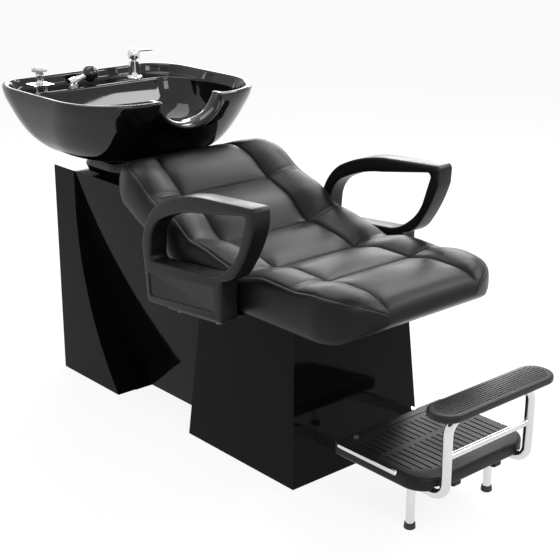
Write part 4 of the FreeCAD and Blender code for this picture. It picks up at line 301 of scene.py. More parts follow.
def filled(gap):
    """How full the foam is at a distance from a seam."""
    return 1 - math.exp(-(gap / SWELL_WIDE) ** 1.3)


def evened(form):
    """Turn the faces of a drawn form outwards and shade them smoothly."""
    bmesh.ops.recalc_face_normals(form, faces=form.faces[:])
    for face in form.faces:
        face.smooth = True


cushion_along = list(FRONT_ROWS)
for first, last, count in zip(PANEL_ENDS, PANEL_ENDS[1:], PANEL_ROWS):
    cushion_along += seam_shares(first, last, count)[1:]
cushion_along += HEAD_ROWS
panel_steps = seam_shares(0, 1, 15, both=False)
bolster_steps = seam_shares(0, 1, 16)[1:]
side_steps = [step / 7 for step in range(1, 8)]
columns = list(zip(*CUSHION_ROWS))


def cushion_row(along):
    """Points across the cushion at one place: the top from edge to edge, then the base."""
    height, slope, depth, wide, inner_wide, edge_rise = (
        eased(columns[0], column, along) for column in columns[1:])
    lean = math.radians(BACK_LEAN * slope)
    up = Vector((0, -math.sin(lean), math.cos(lean)))
    thick = CUSHION_DEPTH * depth
    place = CUSHION_FRONT + CUSHION_LENGTH * along
    base = Vector((0, place, CUSHION_FLOOR + CUSHION_RISE * height)) - up * thick
    outer, seam, inner = CUSHION_EDGE * wide, CUSHION_SEAM * wide, CUSHION_INNER * inner_wide
    edge = thick + EDGE_RISE * edge_rise
    away = seam_gap(along)
    ends = min(1.0, along / 0.06, (1 - along) / 0.05)
    crown = filled(away) * ends ** 0.7
    crease = bell(away, CREASE_WIDE)
    half = []
    for t in panel_steps:
        drawn = (1 - t) * inner
        swell = crown * (PANEL_SWELL * filled(drawn) + PANEL_CROWN * (1 - t * t))
        half.append((inner * t, thick + swell - CREASE_DEEP * crease * (1 - 0.2 * t)
                     - VALLEY_DEEP * ends * bell(drawn, VALLEY_WIDE)))
    bolster = seam - inner
    plump = min(1.0, bolster / BOLSTER_FULL)
    for t in bolster_steps:
        shape = math.sin(math.pi * t) ** 0.6 if t < 1 else 0
        swell = (BOLSTER_SWELL + BOLSTER_CROWN * crown) * plump * ends * shape
        valley = VALLEY_DEEP * ends * bell(t * bolster, VALLEY_WIDE)
        pinch = PINCH_DEEP * bell((1 - t) * bolster, VALLEY_WIDE)
        fold = FOLD_DEEP * plump * bell(away - FOLD_START - FOLD_REACH * t, FOLD_WIDE)
        half.append((inner + bolster * t, thick + (edge - thick) * t + swell - valley - pinch
                     - fold * (1 - 0.8 * t) * (t < 0.97)))

    def flank(t, way):
        """A point on the side, above its middle or below it."""
        turn = math.pi / 2 * t
        return (seam + (outer - seam) * math.sin(turn),
                edge / 2 + way * edge / 2 * math.cos(turn) ** 0.8)

    half += [flank(t, 1) for t in side_steps]
    low = [flank(t, -1) for t in side_steps[::-1][1:] + [0]]
    spread = len(half) - 1 - len(low)
    for step in range(1, spread + 1):
        across = seam * (1 - step / spread)
        lifted = 0.0
        for front, rear, deep in BOARD_ROOMS:
            if across < BOARD_HALF and front < place < rear:
                lifted = deep
        low.append((across, min(lifted, 0.6 * thick)))
    loop = [(-x, z) for x, z in half[:0:-1]] + half + low + [(-x, z) for x, z in low[-2::-1]]
    return [base + Vector((x, 0, 0)) + up * z for x, z in loop]


rows = [cushion_row(along) for along in cushion_along]
around = len(rows[0])
top_count = 2 * (len(panel_steps) + len(bolster_steps) + len(side_steps)) - 1
cover = bmesh.new()
grid = []
for points in rows:
    grid.append([cover.verts.new(Vector((p.x, p.y - ROW_SHIFT, p.z)) / 1000) for p in points])
for first, second in zip(grid, grid[1:]):
    for corner in range(around):
        after = (corner + 1) % around
        cover.faces.new((first[corner], first[after], second[after], second[corner]))
for ring, facing in ((grid[0], 1), (grid[-1], -1)):
    for corner in range(top_count - 1):
        below = [ring[(-corner) % around], ring[(-corner - 1) % around]]
        if corner == 0:
            face = (ring[0], ring[1], ring[-1])
        elif corner == top_count - 2:
            face = (ring[corner], ring[corner + 1], ring[corner + 2])
        else:
            face = (ring[corner], ring[corner + 1], below[1], below[0])
        cover.faces.new(face[::-1] if facing > 0 else face)
evened(cover)
seat_cover = placed("seat_cover", cover)
cushion_mesh = seat_cover.data

leather = finish("leather", (0.004, 0.004, 0.0043), (0.007, 0.007, 0.0074), 7, 0.30, 0.36,
                 320, 0.00012, shine=0.19)
grain = leather.node_tree
pores = node(grain, "TexVoronoi", Scale=420)
pores.feature = "DISTANCE_TO_EDGE"
pore_step = node(grain, "MapRange", From_Max=0.12)
pore_bump = node(grain, "Bump", Distance=0.00008)
object_place = next(n for n in grain.nodes if n.type == "TEX_COORD")
skin = grain.nodes["Principled BSDF"]
grain.links.new(object_place.outputs["Object"], pores.inputs["Vector"])
grain.links.new(pores.outputs["Distance"], pore_step.inputs["Value"])
grain.links.new(pore_step.outputs["Result"], pore_bump.inputs["Height"])
grain.links.new(skin.inputs["Normal"].links[0].from_socket, pore_bump.inputs["Normal"])
grain.links.new(pore_bump.outputs["Normal"], skin.inputs["Normal"])
cushion_mesh.materials.append(leather)
middle_column = (top_count - 1) // 2
inner_column = len(panel_steps) - 1
seam_column = inner_column + len(bolster_steps)
sewn = seat_cover.vertex_groups.new(name="sewn")
for row, along in enumerate(cushion_along):
    free = (1 - bell(seam_gap(along), SEAM_HOLD)) * min(1.0, along / 0.1, (1 - along) / 0.06)
    for column in range(around):
        across = abs(column - middle_column)
        held = 1.0
        if across < inner_column:
            held = 1 - free * (1 - (across / inner_column) ** 6)
        elif across < seam_column:
            share = (across - inner_column) / (seam_column - inner_column)
            held = 1 - free * math.sin(math.pi * share)
        sewn.add([row * around + column], held, "REPLACE")
stuffing = seat_cover.modifiers.new("stuffing", "CLOTH")
stuffing.settings.vertex_group_mass = "sewn"
stuffing.settings.quality = 6
stuffing.settings.mass = 0.4
stuffing.settings.tension_stiffness = 20
stuffing.settings.compression_stiffness = 12
stuffing.settings.bending_stiffness = 1.5
stuffing.settings.use_pressure = True
stuffing.settings.uniform_pressure_force = 4
stuffing.settings.effector_weights.gravity = 0
stuffing.collision_settings.use_collision = False
for number in range(1, SWELL_FRAMES + 1):
    scene.frame_set(number)
swollen = seat_cover.evaluated_get(bpy.context.evaluated_depsgraph_get()).data
moved = [after.co - before.co for after, before in zip(swollen.vertices,
                                                       cushion_mesh.vertices)]
neighbours = [[] for _ in cushion_mesh.vertices]
for edge in cushion_mesh.edges:
    first, second = edge.vertices
    neighbours[first].append(second)
    neighbours[second].append(first)
for _ in range(SWELL_EVENED):
    moved = [step if step.length < SWELL_STILL else
             (step + sum((moved[other] for other in neighbours[number]), Vector())) /
             (1 + len(neighbours[number])) for number, step in enumerate(moved)]
print("cushion swelling, mm:", round(max(step.length for step in moved) * 1000, 2))
for vertex, step in zip(cushion_mesh.vertices, moved):
    vertex.co += step * min(1.0, SWELL_LIMIT / max(step.length, SWELL_LIMIT))
seat_cover.modifiers.remove(stuffing)
scene.frame_set(1)
cushion_mesh.update()
rounder = seat_cover.modifiers.new("smooth_cover", "SUBSURF")
rounder.levels = 1
rounder.render_levels = 1
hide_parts("seat_cushion")
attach(seat_cover, "base")


def stitches(name, lines, length, gap, thickness, material):
    """Short threads laid end to end along lines of (place, normal) pairs."""
    thread = bmesh.new()
    for line in lines:
        travelled, start = 0.0, None
        for (a, _), (b, normal) in zip(line, line[1:]):
            step = (b - a).length
            if start is None:
                start = a
            travelled += step
            if travelled >= length:
                along = (b - start).normalized()
                side = along.cross(normal).normalized()
                middle = (start + b) / 2 + normal * thickness * 0.2
                reach = along * (length - gap) / 2
                ends = [thread.verts.new(middle + sign * reach) for sign in (-1, 1)]
                belt = []
                for end in (-0.6, 0.6):
                    belt.append([thread.verts.new(middle + reach * end + offset * thickness / 2)
                                 for offset in (side, normal, -side, -normal)])
                for corner in range(4):
                    after = (corner + 1) % 4
                    thread.faces.new((ends[0], belt[0][after], belt[0][corner]))
                    thread.faces.new((belt[0][corner], belt[0][after], belt[1][after],
                                      belt[1][corner]))
                    thread.faces.new((ends[1], belt[1][corner], belt[1][after]))
                travelled, start = 0.0, None
    evened(thread)
    return placed(name, thread, material)


STITCH_LONG, STITCH_GAP, STITCH_THICK = 0.0062, 0.0014, 0.0014
STITCH_OFFSET, STITCH_PARTS = 0.0028, 6
thread_paint = finish("thread", (0.09, 0.09, 0.09), (0.16, 0.16, 0.16), 60, 0.6, 0.75, 900,
                      0.0001)
bpy.context.view_layer.update()
tight_cover = seat_cover.evaluated_get(bpy.context.evaluated_depsgraph_get()).data
sewn_points = tight_cover.vertices[:len(cushion_mesh.vertices)]
points = [vertex.co.copy() for vertex in sewn_points]
normals = [vertex.normal.copy() for vertex in sewn_points]
seam_lines = []
for side in (-1, 1):
    column = middle_column + side * seam_column
    for inwards in (STITCH_OFFSET, -STITCH_OFFSET):
        line = []
        for row in range(3, len(rows) - 3):
            spot = row * around + column
            inner_way = (points[spot - side] - points[spot + side]).normalized()
            line.append((points[spot] + inner_way * inwards, normals[spot]))
        dense = []
        for (a, na), (b, nb) in zip(line, line[1:]):
            for part in range(STITCH_PARTS):
                share = part / STITCH_PARTS
                dense.append((a.lerp(b, share), na.lerp(nb, share).normalized()))
        seam_lines.append(dense)
edge_stitches = stitches("edge_stitches", seam_lines, STITCH_LONG, STITCH_GAP, STITCH_THICK,
                         thread_paint)
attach(edge_stitches, "base")

# Armrests: a closed loop of black self-skinned foam on each side, with rounded edges, a
# sunk panel on the outer face and a plugged screw hole near the tip. A steel bracket under
# the seat carries each with two bolts.
SIDES = ((-1, "left"), (1, "right"))
# Shares of the armrest's length and height, and an arc's radius as a share of the height
ARM_LOOP = ((.276, .079), (.959, 0), (1, .457, .473), (.827, .814, 1.356), (.447, .962),
            (.014, 1), (0, .968), (.005, .852, 1.215), (.135, .514, .246),
            (.250, .401, -.036), (.276, .366))
ARM_WINDOW = ((.382, .404), (.887, .344, .045), (.921, .388), (.913, .517, .268),
              (.784, .716, 1.250), (.466, .839), (.096, .927, .030), (.072, .886),
              (.123, .681, .404), (.226, .505, .442))
ARM_PANEL = ((.332, .142), (.930, .060), (.942, .243), (.337, .334))
ARM_FRONT, ARM_FLOOR, ARM_LENGTH, ARM_HEIGHT = 16 - ROW_SHIFT, 381, 416, 317
ARM_INNER, ARM_OUTER, ARM_ROUND = 267, 319, 5.5
ARM_PANEL_DEEP, ARM_PANEL_TOOL, ARM_PANEL_ROUND = 2.8, 8, 0.7
PLUG_RADIUS, PLUG_FLAT, PLUG_ACROSS, PLUG_BACK, PLUG_HIGH = 0.0038, 0.35, 0.293, 38, 0.6946


def traced(shares, steps=10):
    """Points in millimetres along an outline of lines and arcs given in shares."""
    places = [(ARM_FRONT + ARM_LENGTH * row[0], ARM_FLOOR + ARM_HEIGHT * row[1])
              for row in shares]
    out = []
    for number, row in enumerate(shares):
        a, b = places[number], places[(number + 1) % len(shares)]
        out.append(a)
        if len(row) < 3:
            continue
        radius = abs(row[2]) * ARM_HEIGHT
        way = math.copysign(1, row[2])
        dx, dz = b[0] - a[0], b[1] - a[1]
        span = math.hypot(dx, dz)
        radius = max(radius, span / 2 * 1.001)
        off = math.sqrt(radius * radius - span * span / 4) * way
        cx, cz = (a[0] + b[0]) / 2 - dz / span * off, (a[1] + b[1]) / 2 + dx / span * off
        first, last = math.atan2(a[1] - cz, a[0] - cx), math.atan2(b[1] - cz, b[0] - cx)
        turn = (last - first) % (2 * math.pi)
        if way < 0:
            turn -= 2 * math.pi
        for step in range(1, steps):
            angle = first + turn * step / steps
            out.append((cx + radius * math.cos(angle), cz + radius * math.sin(angle)))
    return out


def round_corner(before, point, after, radius, least, share):
    """The points that round a corner, or the corner itself where it hardly bends."""
    here = Vector(point)
    back, on = Vector(before) - here, Vector(after) - here
    if back.length < 1e-6 or on.length < 1e-6:
        return []
    bend = math.pi - back.angle(on)
    if bend < least:
        return [tuple(here)]
    cut = min(radius * math.tan(bend / 2), share * back.length, share * on.length)
    a, b = here + back.normalized() * cut, here + on.normalized() * cut
    return [tuple(a * (1 - t) ** 2 + here * 2 * t * (1 - t) + b * t * t)
            for t in (0, 0.25, 0.5, 0.75, 1)]


def softened(points, radius):
    """The same outline with its sharp corners rounded."""
    out = []
    for number, point in enumerate(points):
        after = points[(number + 1) % len(points)]
        out += round_corner(points[number - 1], point, after, radius, 0.35, 0.42)
    return out


def baked(made):
    """The mesh of an object as its curve or its modifiers leave it."""
    bpy.context.view_layer.update()
    return bpy.data.meshes.new_from_object(made.evaluated_get(
        bpy.context.evaluated_depsgraph_get()))


def painted(solid, material):
    """The piece with this finish alone."""
    solid.data.materials.clear()
    solid.data.materials.append(material)
    return solid


def slab(name, loops, near, far, rounding, place):
    """A flat shape from loops, from near to far, with its edges rounded on both faces."""
    curve = bpy.data.curves.new(name, "CURVE")
    curve.dimensions = "2D"
    curve.fill_mode = "BOTH"
    for loop in loops:
        spline = curve.splines.new("POLY")
        spline.points.add(len(loop) - 1)
        for point, (x, y) in zip(spline.points, loop):
            point.co = (x / 1000, y / 1000, 0, 1)
        spline.use_cyclic_u = True
    curve.extrude = (far - near) / 2000 - rounding / 1000
    curve.bevel_depth = rounding / 1000
    curve.bevel_resolution = 4
    curve.offset = -rounding / 1000
    made = shown(name, curve)
    made.matrix_world = place
    mesh = baked(made)
    mesh.transform(made.matrix_world)
    bpy.data.objects.remove(made)
    weld = bmesh.new()
    weld.from_mesh(mesh)
    bmesh.ops.remove_doubles(weld, verts=weld.verts[:], dist=0.00002)
    evened(weld)
    weld.to_mesh(mesh)
    weld.free()
    return shown(name, mesh)


def carved(solid, tool, operation="DIFFERENCE"):
    """Cut one mesh with another, or join them, close small holes and drop the tool."""
    change = solid.modifiers.new("carve", "BOOLEAN")
    change.operation = operation
    change.solver = "EXACT"
    change.object = tool
    mesh = baked(solid)
    closed = bmesh.new()
    closed.from_mesh(mesh)
    bmesh.ops.holes_fill(closed, edges=[edge for edge in closed.edges if edge.is_boundary],
                         sides=8)
    closed.to_mesh(mesh)
    closed.free()
    solid.modifiers.clear()
    solid.data = mesh
    bpy.data.objects.remove(tool)
    return solid


def creased(solid, degrees):
    """Sharp shading only where faces meet at more than this angle."""
    mesh = solid.data
    edges = bmesh.new()
    edges.from_mesh(mesh)
    for face in edges.faces:
        face.smooth = True
    for edge in edges.edges:
        if len(edge.link_faces) == 2:
            edge.smooth = edge.calc_face_angle(0) < math.radians(degrees)
    edges.to_mesh(mesh)
    edges.free()
    return solid


def beside(side, across):
    """A plane that stands on one side of the seat, with its drawing's x to the rear."""
    return Matrix(((0, 0, side, side * across / 1000), (1, 0, 0, 0), (0, 1, 0, 0), (0, 0, 0, 1)))


foam = finish("foam", (0.006, 0.006, 0.006), (0.010, 0.010, 0.010), 11, 0.27, 0.35, 700,
              0.00010, shine=0.21)
for side, side_name in SIDES:
    loop = softened(traced(ARM_LOOP), 10)
    window = softened(traced(ARM_WINDOW), 14)
    arm = slab(f"armrest_{side_name}_foam", [loop, window], ARM_INNER, ARM_OUTER, ARM_ROUND,
               beside(side, (ARM_INNER + ARM_OUTER) / 2))
    panel_middle = ARM_OUTER + ARM_PANEL_TOOL / 2 - ARM_PANEL_DEEP
    sunk = slab("arm_panel", [softened(traced(ARM_PANEL), 9)], 0, ARM_PANEL_TOOL,
                ARM_PANEL_ROUND, beside(side, panel_middle))
    carved(arm, sunk)
    painted(arm, foam)
    creased(arm, 42)
    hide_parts(f"armrest_{side_name}")
    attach(arm, "base")
    disc = bmesh.new()
    bmesh.ops.create_uvsphere(disc, u_segments=20, v_segments=10, radius=PLUG_RADIUS)
    bmesh.ops.scale(disc, vec=(1, 1, PLUG_FLAT), verts=disc.verts[:])
    dimple = placed(f"arm_plug_{side_name}", disc, zinc)
    dimple.location = (side * PLUG_ACROSS, (ARM_FRONT + PLUG_BACK) / 1000, PLUG_HIGH)
    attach(dimple, "base")

# Basin: one casting of black glazed ceramic with a deep well, a tap deck at the back and a
# neck notch in front whose edge is rolled over like a cushion. The glaze rounds every edge.
BASIN_FRONT, BASIN_REAR, BASIN_HALF = 640 - ROW_SHIFT, 1180 - ROW_SHIFT, 300
BASIN_RIM, BASIN_FOOT, BASIN_DECK, BASIN_FLOOR, BASIN_WALL = 808, 632, 780, 654, 17
# Shares of the height from foot to rim, of the half width, and of how far front and rear
# are drawn in, for the outside and for the well
BASIN_OUTER = ((0.000, .533, .194, .361), (0.045, .707, .180, .300), (0.136, .820, .159, .237),
               (0.330, .913, .118, .152), (0.614, .973, .059, .074), (0.898, 1.0, .006, .007),
               (0.972, 1.000, .000, .000), (1.000, .996, .004, .004))
BASIN_WELL = ((0.000, .200, .237, .556), (0.056, .560, .195, .360), (0.167, .767, .165, .319),
              (0.365, .850, .140, .267), (0.643, .900, .096, .230), (1.000, .927, .044, .204),
              (1.120, .930, .040, .202))
# Shares of the height from deck to rim, and of the wall
BASIN_BRIM = ((0.0, 1.25), (0.7, 0.95), (1.4, 0.60))
# Radii of the corners across and along the basin, in front and at the rear, as shares of
# its half width
CORNERS = (0.567, 0.633, 0.283, 0.467)
NOTCH_HALF, NOTCH_DEEP, NOTCH_FRONT, NOTCH_REAR, NOTCH_OVER = 92, 66, 60, 100, 60
LIP_PLACE, LIP_HALF, LIP_DEEP, LIP_THICK, LIP_LONG = 665 - ROW_SHIFT, 104, 78, 12, 27
LEDGE_HALF, LEDGE_FRONT, LEDGE_REAR, LEDGE_ROOF = 205, 1084 - ROW_SHIFT, 1130 - ROW_SHIFT, 14
DRAIN_PLACE, DRAIN_RADIUS = 822 - ROW_SHIFT, 24


def arc(cx, cy, rx, ry, start, turn, steps):
    """Points along a part of an ellipse, from one angle on through another."""
    angles = [math.radians(start + turn * step / steps) for step in range(steps + 1)]
    return [(cx + rx * math.cos(angle), cy + ry * math.sin(angle)) for angle in angles]


def basin_loop(height, half, near, far, corner):
    """A closed ring in plan: straight sides joined by quarter ellipses."""
    fx, fy, rx, ry = (BASIN_HALF * corner * share for share in CORNERS)
    plan = (arc(half - fx, near + fy, fx, fy, -90, 90, 24)
            + arc(half - rx, far - ry, rx, ry, 0, 90, 24)
            + arc(rx - half, far - ry, rx, ry, 90, 90, 24)
            + arc(fx - half, near + fy, fx, fy, 180, 90, 24))
    return [Vector((x, y, height)) / 1000 for x, y in plan]


def lofted(name, loops):
    """A closed block through loops of equal point counts."""
    block = bmesh.new()
    rings = [[block.verts.new(point) for point in loop] for loop in loops]
    for first, second in zip(rings, rings[1:]):
        count = len(first)
        for corner in range(count):
            after = (corner + 1) % count
            block.faces.new((first[corner], first[after], second[after], second[corner]))
    block.faces.new(rings[0][::-1])
    block.faces.new(rings[-1])
    bmesh.ops.recalc_face_normals(block, faces=block.faces[:])
    return placed(name, block)


def basin_block(name, shares, foot, top, levels=30):
    """A block through rings whose shares run from a foot to a top."""
    columns = list(zip(*shares))
    loops = []
    span = BASIN_REAR - BASIN_FRONT
    for step in range(levels + 1):
        t = (1 - math.cos(math.pi * step / levels)) / 2 * columns[0][-1]
        wide, near, far = (eased(columns[0], column, t) for column in columns[1:])
        loops.append(basin_loop(foot + (top - foot) * t, BASIN_HALF * wide,
                                BASIN_FRONT + span * near, BASIN_REAR - span * far,
                                min(1.0, wide)))
    return lofted(name, loops)


bowl = basin_block("basin_glaze", BASIN_OUTER, BASIN_FOOT, BASIN_RIM)
brim_loops = []
for rise, share in BASIN_BRIM:
    inset = BASIN_WALL * share
    brim_loops.append(basin_loop(BASIN_DECK + (BASIN_RIM - BASIN_DECK) * rise,
                                 BASIN_HALF - inset, BASIN_FRONT + inset, BASIN_REAR - inset,
                                 0.95))
carved(bowl, lofted("brim", brim_loops))
carved(bowl, basin_block("well", BASIN_WELL, BASIN_FLOOR, BASIN_DECK))
notch_over = BASIN_RIM + NOTCH_OVER
notch_outline = (arc(0, BASIN_RIM, NOTCH_HALF, NOTCH_DEEP, 180, 180, 40)
                 + [(NOTCH_HALF, notch_over), (-NOTCH_HALF, notch_over)])
carved(bowl, lofted("notch", [[Vector((x, y, z)) / 1000 for x, z in notch_outline]
                              for y in (BASIN_FRONT - NOTCH_FRONT, BASIN_FRONT + NOTCH_REAR)]))
lip_loops = []
for step in range(49):
    turn = math.pi * step / 48
    middle = Vector((LIP_HALF * math.cos(turn), LIP_PLACE, BASIN_RIM - LIP_DEEP * math.sin(turn)))
    outwards = Vector((LIP_DEEP * math.cos(turn), 0, -LIP_HALF * math.sin(turn))).normalized()
    end = min(1.0, 0.72 + 0.28 * math.sin(turn) / 0.35)
    lip_loops.append([(middle + outwards * LIP_THICK * end * math.cos(math.radians(a))
                       + Vector((0, LIP_LONG * end * math.sin(math.radians(a)), 0))) / 1000
                      for a in range(0, 360, 12)])
carved(bowl, lofted("lip", lip_loops), "UNION")
ledge_plan = ((-LEDGE_HALF, LEDGE_FRONT), (LEDGE_HALF, LEDGE_FRONT), (LEDGE_HALF, LEDGE_REAR),
              (-LEDGE_HALF, LEDGE_REAR))
carved(bowl, lofted("ledge_hollow", [[Vector((x, y, z)) / 1000 for x, y in ledge_plan]
                                     for z in (BASIN_FOOT - 4, BASIN_DECK - LEDGE_ROOF)]))
drain_plan = arc(0, DRAIN_PLACE, DRAIN_RADIUS, DRAIN_RADIUS, 0, 352, 44)
carved(bowl, lofted("drain_hole", [[Vector((x, y, z)) / 1000 for x, y in drain_plan]
                                   for z in (BASIN_FOOT - 10, BASIN_FLOOR + 10)]))
even = bowl.modifiers.new("even", "REMESH")
even.mode = "VOXEL"
even.voxel_size = 0.0026
bowl.data = baked(bowl)
bowl.modifiers.clear()
calm = bowl.modifiers.new("glaze", "SMOOTH")
calm.factor = 0.5
calm.iterations = 14
bowl.data = baked(bowl)
bowl.modifiers.clear()
for face in bowl.data.polygons:
    face.use_smooth = True
glaze = finish("glaze", (0.0025, 0.0025, 0.003), (0.0045, 0.0045, 0.005), 2.5, 0.035, 0.06,
               9, 0.0001, shine=0.4)
painted(bowl, glaze)
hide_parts("basin")
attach(bowl, "basin")

# Drain and mount: a moulded waste tail and collar in black plastic, a brass nut, and a
# chromed strainer that lifts out.
black_plastic = finish("black_plastic", (0.010, 0.010, 0.010), (0.018, 0.018, 0.018), 14,
                       0.26, 0.38, 500, 0.0001)
dress(black_plastic, 0.0008, "drain_tail", "collar")
brass = finish("brass", (0.45, 0.30, 0.10), (0.66, 0.47, 0.19), 40, 0.22, 0.38, 600, 0.0001,
               metal=1.0)
dress(brass, 0.0006, "drain_nut", "mixer_nut")
chrome = finish("chrome", (0.60, 0.61, 0.62), (0.74, 0.75, 0.76), 6, 0.035, 0.085, 60,
                0.00004, metal=1.0)
dress(chrome, 0.0006, "strainer")

# Mixer tap: turned brass, chromed: a flanged body, a cartridge that turns in it and a
# domed lever whose handle is a flat loop pointing over the basin.
MIXER = (145, 1108 - ROW_SHIFT, 0)
HANDLE_HIGH, HANDLE_THICK, HANDLE_ROUND, HANDLE_TIP, HANDLE_GAP_START = 858, 5, 1.1, 49, 30
HANDLE_TURN, HANDLE_RISE = math.radians(-42), math.radians(-6)


def turned(name, profile, place, material, steps=64, lean=Matrix.Identity(4)):
    """A body turned from a profile of (radius, height) in millimetres."""
    lathe = bmesh.new()
    rings = []
    for radius, height in profile:
        if radius == 0:
            rings.append([lathe.verts.new((0, 0, height / 1000))])
        else:
            rings.append([lathe.verts.new((radius / 1000 * math.cos(2 * math.pi * n / steps),
                                           radius / 1000 * math.sin(2 * math.pi * n / steps),
                                           height / 1000)) for n in range(steps)])
    for first, second in zip(rings, rings[1:]):
        for corner in range(steps):
            after = (corner + 1) % steps
            face = [first[corner % len(first)], first[after % len(first)],
                    second[after % len(second)], second[corner % len(second)]]
            seen = list(dict.fromkeys(face))
            if len(seen) > 2:
                lathe.faces.new(seen)
    evened(lathe)
    made = placed(name, lathe, material)
    made.matrix_world = Matrix.Translation(Vector(place) / 1000) @ lean
    return creased(made, 32)


def filleted(profile, radius=1.2):
    """The profile with its corners rounded, end points kept."""
    out = [profile[0]]
    for before, point, after in zip(profile, profile[1:], profile[2:]):
        out += round_corner(before, point, after, radius, 0.25, 0.45)
    out.append(profile[-1])
    return out


mixer_shell = turned("mixer_shell", filleted(
    [(0, 746), (8, 746), (8, 779.6), (24, 780), (24, 782.5), (22.6, 786), (19.2, 787.4),
     (17.6, 790), (16.4, 800), (15.6, 816), (15, 828), (15, 832), (10.3, 832), (10.3, 818),
     (0, 818)], 1.0), MIXER, chrome)
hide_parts("mixer_body")
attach(mixer_shell, "basin")
dress(chrome, 0.0004, "mixer_cartridge")
lever_cap = turned("lever_cap", filleted(
    [(15.6, 839.4), (15.6, 852), (13, 859), (0, 862.5), (0, 867.8), (6, 867.2), (11.5, 864.6),
     (15.6, 860), (17.6, 854), (18, 848), (18, 839.2), (17.2, 838), (15.8, 838.4),
     (15.6, 839.4)], 0.6), MIXER, chrome)
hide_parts("mixer_lever")
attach(lever_cap, "mixer_lever")
handle_loop = ([(10, -6.2), (30, -5.4), (46, -7.6)] + arc(HANDLE_TIP, 0, 9, 8.4, -90, 180, 12)
               + [(46, 7.6), (30, 5.4), (10, 6.2)])
handle_gap = (arc(HANDLE_TIP, 0, 4.2, 4.4, -90, 180, 12)
              + arc(HANDLE_GAP_START, 0, 2.4, 2.4, 90, 180, 12))
handle_place = Matrix.Translation(Vector((MIXER[0], MIXER[1], HANDLE_HIGH)) / 1000)
handle = slab("lever_handle", [handle_loop, handle_gap], 0, HANDLE_THICK, HANDLE_ROUND,
              handle_place @ Matrix.Rotation(HANDLE_TURN, 4, "Z")
              @ Matrix.Rotation(HANDLE_RISE, 4, "Y"))
painted(handle, chrome)
creased(handle, 40)
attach(handle, "mixer_lever")

# Hand spray: a black ball head on a short chromed handle that rests in an elbow socket on
# the tap deck. Its hose runs down through the deck and isn't shown.
SPRAY = (-4, 1112 - ROW_SHIFT, 808)
SPRAY_LEAN, BALL_RADIUS = math.radians(76), 24
spray_way = Vector((-math.sin(SPRAY_LEAN), 0, -math.cos(SPRAY_LEAN)))
spray_turn = spray_way.to_track_quat("Z", "Y").to_matrix().to_4x4()
ball_profile = ([(0, -19.2), (12.6, -19.2), (13.4, -19.8)]
                + arc(0, 0, BALL_RADIUS, BALL_RADIUS, -54, 130, 20)[1:]
                + [(6.4, 24.2), (0, 24.2)])
spray_paint = finish("spray_paint", (0.006, 0.006, 0.006), (0.010, 0.010, 0.010), 20, 0.10,
                     0.16, 30, 0.0001)
spray_ball = turned("spray_ball", ball_profile, SPRAY, spray_paint, lean=spray_turn)
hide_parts("hand_spray")
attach(spray_ball, "spray")
spray_handle = turned("spray_handle", filleted(
    [(0, 23), (8.6, 23), (8.8, 26), (7.2, 28), (7, 36), (7, 40), (9, 41), (9, 46.5), (7, 48),
     (7, 74), (0, 74)], 0.8), SPRAY, chrome, lean=spray_turn)
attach(spray_handle, "spray")
dress(chrome, 0.001, "spray_socket")

# Vacuum breaker: a chromed square plate on two legs, with a column and a pale mushroom
# cap that closes the air valve.
dress(chrome, 0.0012, "breaker_base")
BREAKER = (-182, 1092 - ROW_SHIFT, 0)
column = turned("breaker_column", filleted(
    [(0, 802), (13, 802), (13, 805), (10, 807), (9.2, 812), (9.2, 826), (12, 829), (12, 832),
     (9, 834), (9, 837), (0, 837)], 0.9), BREAKER, chrome)
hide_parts("breaker_valve")
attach(column, "basin")
pale_cap = finish("pale_cap", (0.55, 0.56, 0.55), (0.68, 0.69, 0.68), 30, 0.10, 0.18, 60,
                  0.0001)
cap = turned("breaker_cap", filleted(
    [(0, 836), (17, 836), (21.4, 837), (22, 840), (21, 844), (16, 847.6), (8, 849.6),
     (0, 850)], 1.2), BREAKER, pale_cap)
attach(cap, "basin")

# Footrest carrier: two chromed flat bars from the pedestal and two tube legs with black
# rubber caps.
dress(chrome, 0.0014, "footrest_bar_left", "footrest_bar_right")
dress(chrome, 0.0005, "footrest_leg_left", "footrest_leg_right")
rubber = finish("rubber", (0.011, 0.011, 0.011), (0.02, 0.02, 0.02), 30, 0.5, 0.65, 400,
                0.0002)
dress(rubber, 0.001, "rubber_foot_left", "rubber_foot_right")

# Step: a hollow black moulding with narrow drain grooves that run lengthwise in two
# groups, a smooth band for the screws at the back and a rounded rim. A bright strip is
# pressed into each side, and two lugs below keep the step on its bars.
STEP_HALF, STEP_REAR, STEP_FRONT = 182, -100 - ROW_SHIFT, -378 - ROW_SHIFT
STEP_TOP, STEP_FLOOR, STEP_ROUND, STEP_WALL = 157, 124, 9, 7
STEP_CORNERS, HOLLOW_CORNERS = (62, 12), (54, 5)
PASSAGE_ACROSS, LUG_ACROSS, STRIP_ACROSS = 136.5, 68, 179.7
GROOVES, GROOVE_START, GROOVE_PITCH, GROOVE_WIDE, GROOVE_DEEP = 17, -150, 18.75, 4.4, 3.4
GROOVE_REAR, GROOVE_BREAK, GROOVE_AGAIN, GROOVE_FRONT, GROOVE_ACROSS = 46, 118, 132, 36, 164
STRIP_HALF, STRIP_FRONT, STRIP_REAR = 5.6, -297 - ROW_SHIFT, -114 - ROW_SHIFT


def rounded_plan(half, front, rear, front_round, rear_round):
    """A plan outline with round corners, in millimetres."""
    return (arc(half - rear_round, rear - rear_round, rear_round, rear_round, 0, 90, 14)
            + arc(rear_round - half, rear - rear_round, rear_round, rear_round, 90, 90, 14)
            + arc(front_round - half, front + front_round, front_round, front_round, 180, 90, 14)
            + arc(half - front_round, front + front_round, front_round, front_round, 270, 90, 14))


